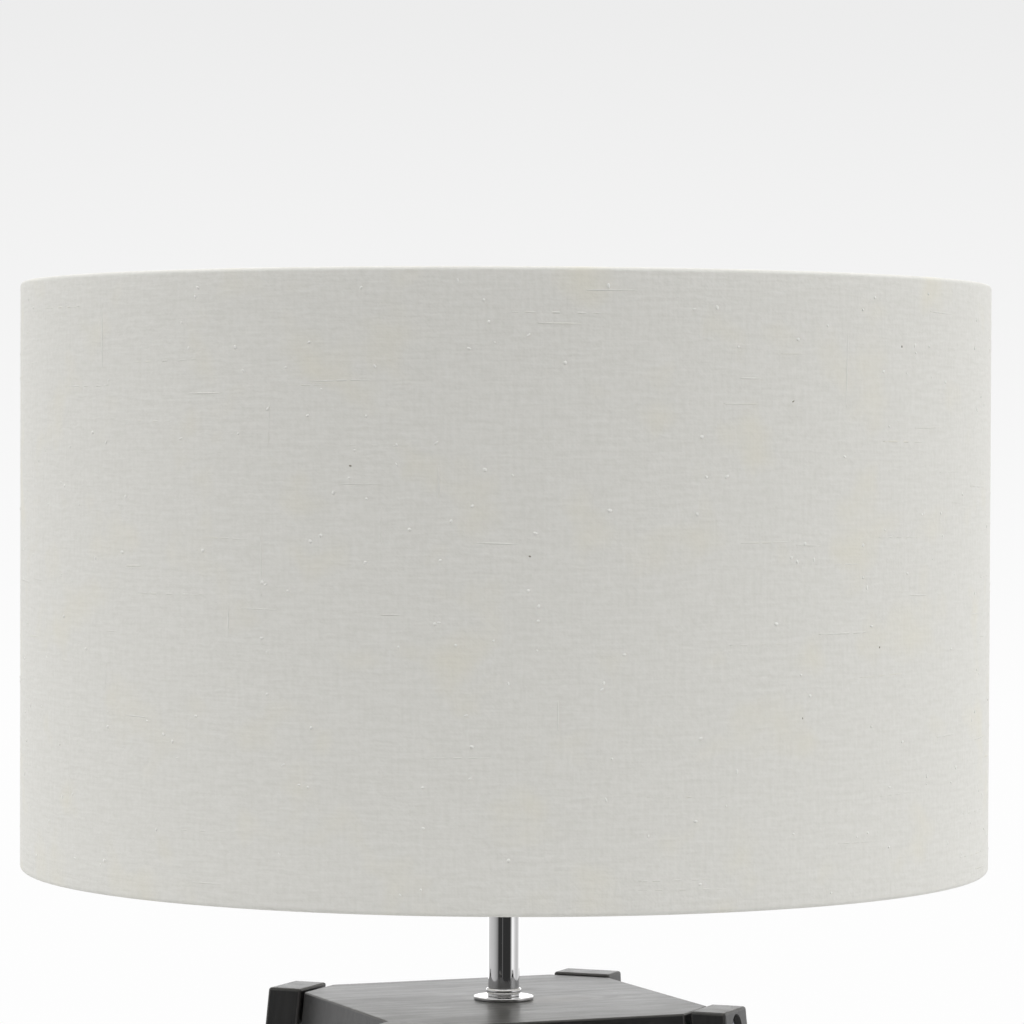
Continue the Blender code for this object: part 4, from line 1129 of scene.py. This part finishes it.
def make_bulb_foot():
    """Contact button, glass insulator and rolled screw cap."""
    low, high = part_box("bulb_contact")
    shoulder = low.z + 0.9 * MM
    button = [(0, high.z), (high.x, high.z), (high.x, shoulder)]
    button += [(r, max(z, low.z)) for r, z in arc(0, shoulder, high.x, 0, -90, 10)[1:]]
    settle(turned("contact_button", button, NICKEL, 64), "bulb", "nickel_steel", "bulb_contact")

    low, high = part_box("bulb_insulator")
    foot, ripple, ripples, edge_drop = 5.5 * MM, 0.105 * MM, 3, 0.1 * MM
    points = [(0, high.z), (high.x - 0.3 * MM, high.z)]
    steps = 24
    for i in range(steps + 1):
        t = i / steps
        radius = high.x + (foot - high.x) * t
        fall = edge_drop + (high.z - low.z - edge_drop) * t
        wave = ripple * math.sin(ripples * math.tau * t) * (1 - t)
        points.append((radius, high.z - fall - wave))
    points.append((0, low.z))
    settle(turned("glass_insulator", points, VITRITE, 96), "bulb", "black_glass", "bulb_insulator")

    low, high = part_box("bulb_cap")
    wall, depth, taper = 0.4 * MM, 0.9 * MM, 2 * MM
    crest = high.x
    root = crest - depth
    cone = crest - taper
    skirt = high.z - 4 * MM
    hole = 3 * MM
    outside = threaded_run(root, skirt, low.z + taper, 44, 0.08)
    inside = [(r - wall, z, weight) for r, z, weight in outside[::-1]]
    points = [(crest - wall - 0.3 * MM, high.z), (crest - 0.3 * MM, high.z),
              (crest - 0.3 * MM, skirt + 0.6 * MM), (root, skirt)]
    points += outside + [(root - 0.2 * MM, low.z + taper * 0.6), (cone, low.z), (hole, low.z),
                         (hole, low.z + wall), (cone - wall, low.z + wall),
                         (root - wall - 0.2 * MM, low.z + taper)]
    points += inside + [(crest - wall - 0.3 * MM, skirt + 0.4 * MM), points[0]]
    cap = turned("rolled_screw_cap", points, NICKEL, 72, relief=(1.0, -math.tau / E27_PITCH, depth))
    settle(cap, "bulb", "nickel_steel", "bulb_cap")


def make_bulb_head():
    """Moulded collar that flares into a cup, and the hollow opal globe that sits in it."""
    globe_low, globe_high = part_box("bulb_globe")
    radius = globe_high.x
    centre = globe_high.z - radius
    wall = 1 * MM
    opening = math.degrees(math.asin((globe_low.z - centre) / radius))
    opening_inside = math.degrees(math.asin((globe_low.z - centre) / (radius - wall)))
    skin = arc(0, centre, radius, 90, opening, 72)
    inner = arc(0, centre, radius - wall, opening_inside, 90, 60)
    skin[0], inner[-1] = (0, centre + radius), (0, centre + radius - wall)
    globe = turned("opal_globe", skin + inner, OPAL, 128)
    settle(globe, "bulb", "opal_plastic", "bulb_globe")

    low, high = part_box("bulb_neck")
    collar = 14.2 * MM
    cup_end = -42
    seat = radius + GAP
    cup_floor = math.degrees(math.asin((high.z - centre) / seat))
    cup = arc(0, centre, seat, cup_floor, cup_end, 16)
    lip_r, lip_z = cup[-1]
    flare = []
    flare_r, flare_z, collar_top = lip_r + 1.1 * MM, lip_z - 0.6 * MM, low.z + 3 * MM
    steps = 20
    for i in range(steps + 1):
        t = i / steps
        ease = t * t * (3 - 2 * t)
        flare.append((flare_r + (collar - flare_r) * ease, flare_z + (collar_top - flare_z) * t))
    points = [(0, high.z)] + cup + [(lip_r + 0.7 * MM, lip_z + 0.1 * MM)] + flare
    points += [(collar, low.z + 0.4 * MM), (collar - 0.4 * MM, low.z), (0, low.z)]
    settle(turned("flared_collar", points, WHITE_PLASTIC, 128), "bulb", "white_plastic",
           "bulb_neck")


make_bulb_foot()
make_bulb_head()

# ---- base -------------------------------------------------------------------------------


def board_frame(node, angle=0.0, lean=0.0):
    """Turn world places into a board's own: Z along its grain, X through its thickness."""
    low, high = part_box(node)
    middle = Matrix.Translation(-(low + high) / 2)
    return (Matrix.Rotation(-lean, 4, "Y") @ Matrix.Rotation(-angle, 4, "Z") @ middle)


def keep_above(piece, floor_level):
    """Press anything that would go through the surface the lamp stands on up to it."""
    for vert in piece.data.vertices:
        vert.co.z = max(vert.co.z, floor_level)


def make_base():
    lean = math.atan(LEG_SPLAY)
    leg_wood = stained_wood("stained_beech")
    for corner, degrees in CORNERS.items():
        node = "leg_" + corner
        leg = carried("board_" + node, node, leg_wood,
                      board_frame(node, math.radians(degrees), -lean))
        settle(leg, "base", "stained_wood", node)
        for level in ("upper", "lower"):
            bolt = f"leg_bolt_{level}_{corner}"
            settle(carried("plated_" + bolt, bolt, ZINC), "base", "zinc_steel", bolt)
            spacer = f"leg_spacer_{level}_{corner}"
            settle(carried("moulded_" + spacer, spacer, NYLON), "base", "black_nylon", spacer)
        pad = "foot_pad_" + corner
        felt = carried("felt_" + pad, pad, FELT)
        hairs = grow("fibres_" + corner, felt.data.copy(), FIBRES, {
            "Density": HAIRS_EACH_SQUARE_METRE, "Length": 1.1 * MM, "Thickness": 0.09 * MM,
            "Material": FELT})
        keep_above(hairs, 0.0)
        settle(join(felt, [hairs]), "base", "felt", pad)
    # the plates' grain runs along X, so their own Z is the row's X
    along_x = Matrix.Rotation(-math.pi / 2, 4, "Y")
    knot = Vector((0.0, -9.2 * MM, 18.5 * MM))
    for name, node, wood in (
            ("block_board", "top_block", stained_wood("stained_beech_with_knot", knot)),
            ("shelf_board", "lower_shelf", leg_wood)):
        plate = carried(name, node, wood, along_x @ board_frame(node))
        settle(plate, "base", "stained_wood", node)


make_base()
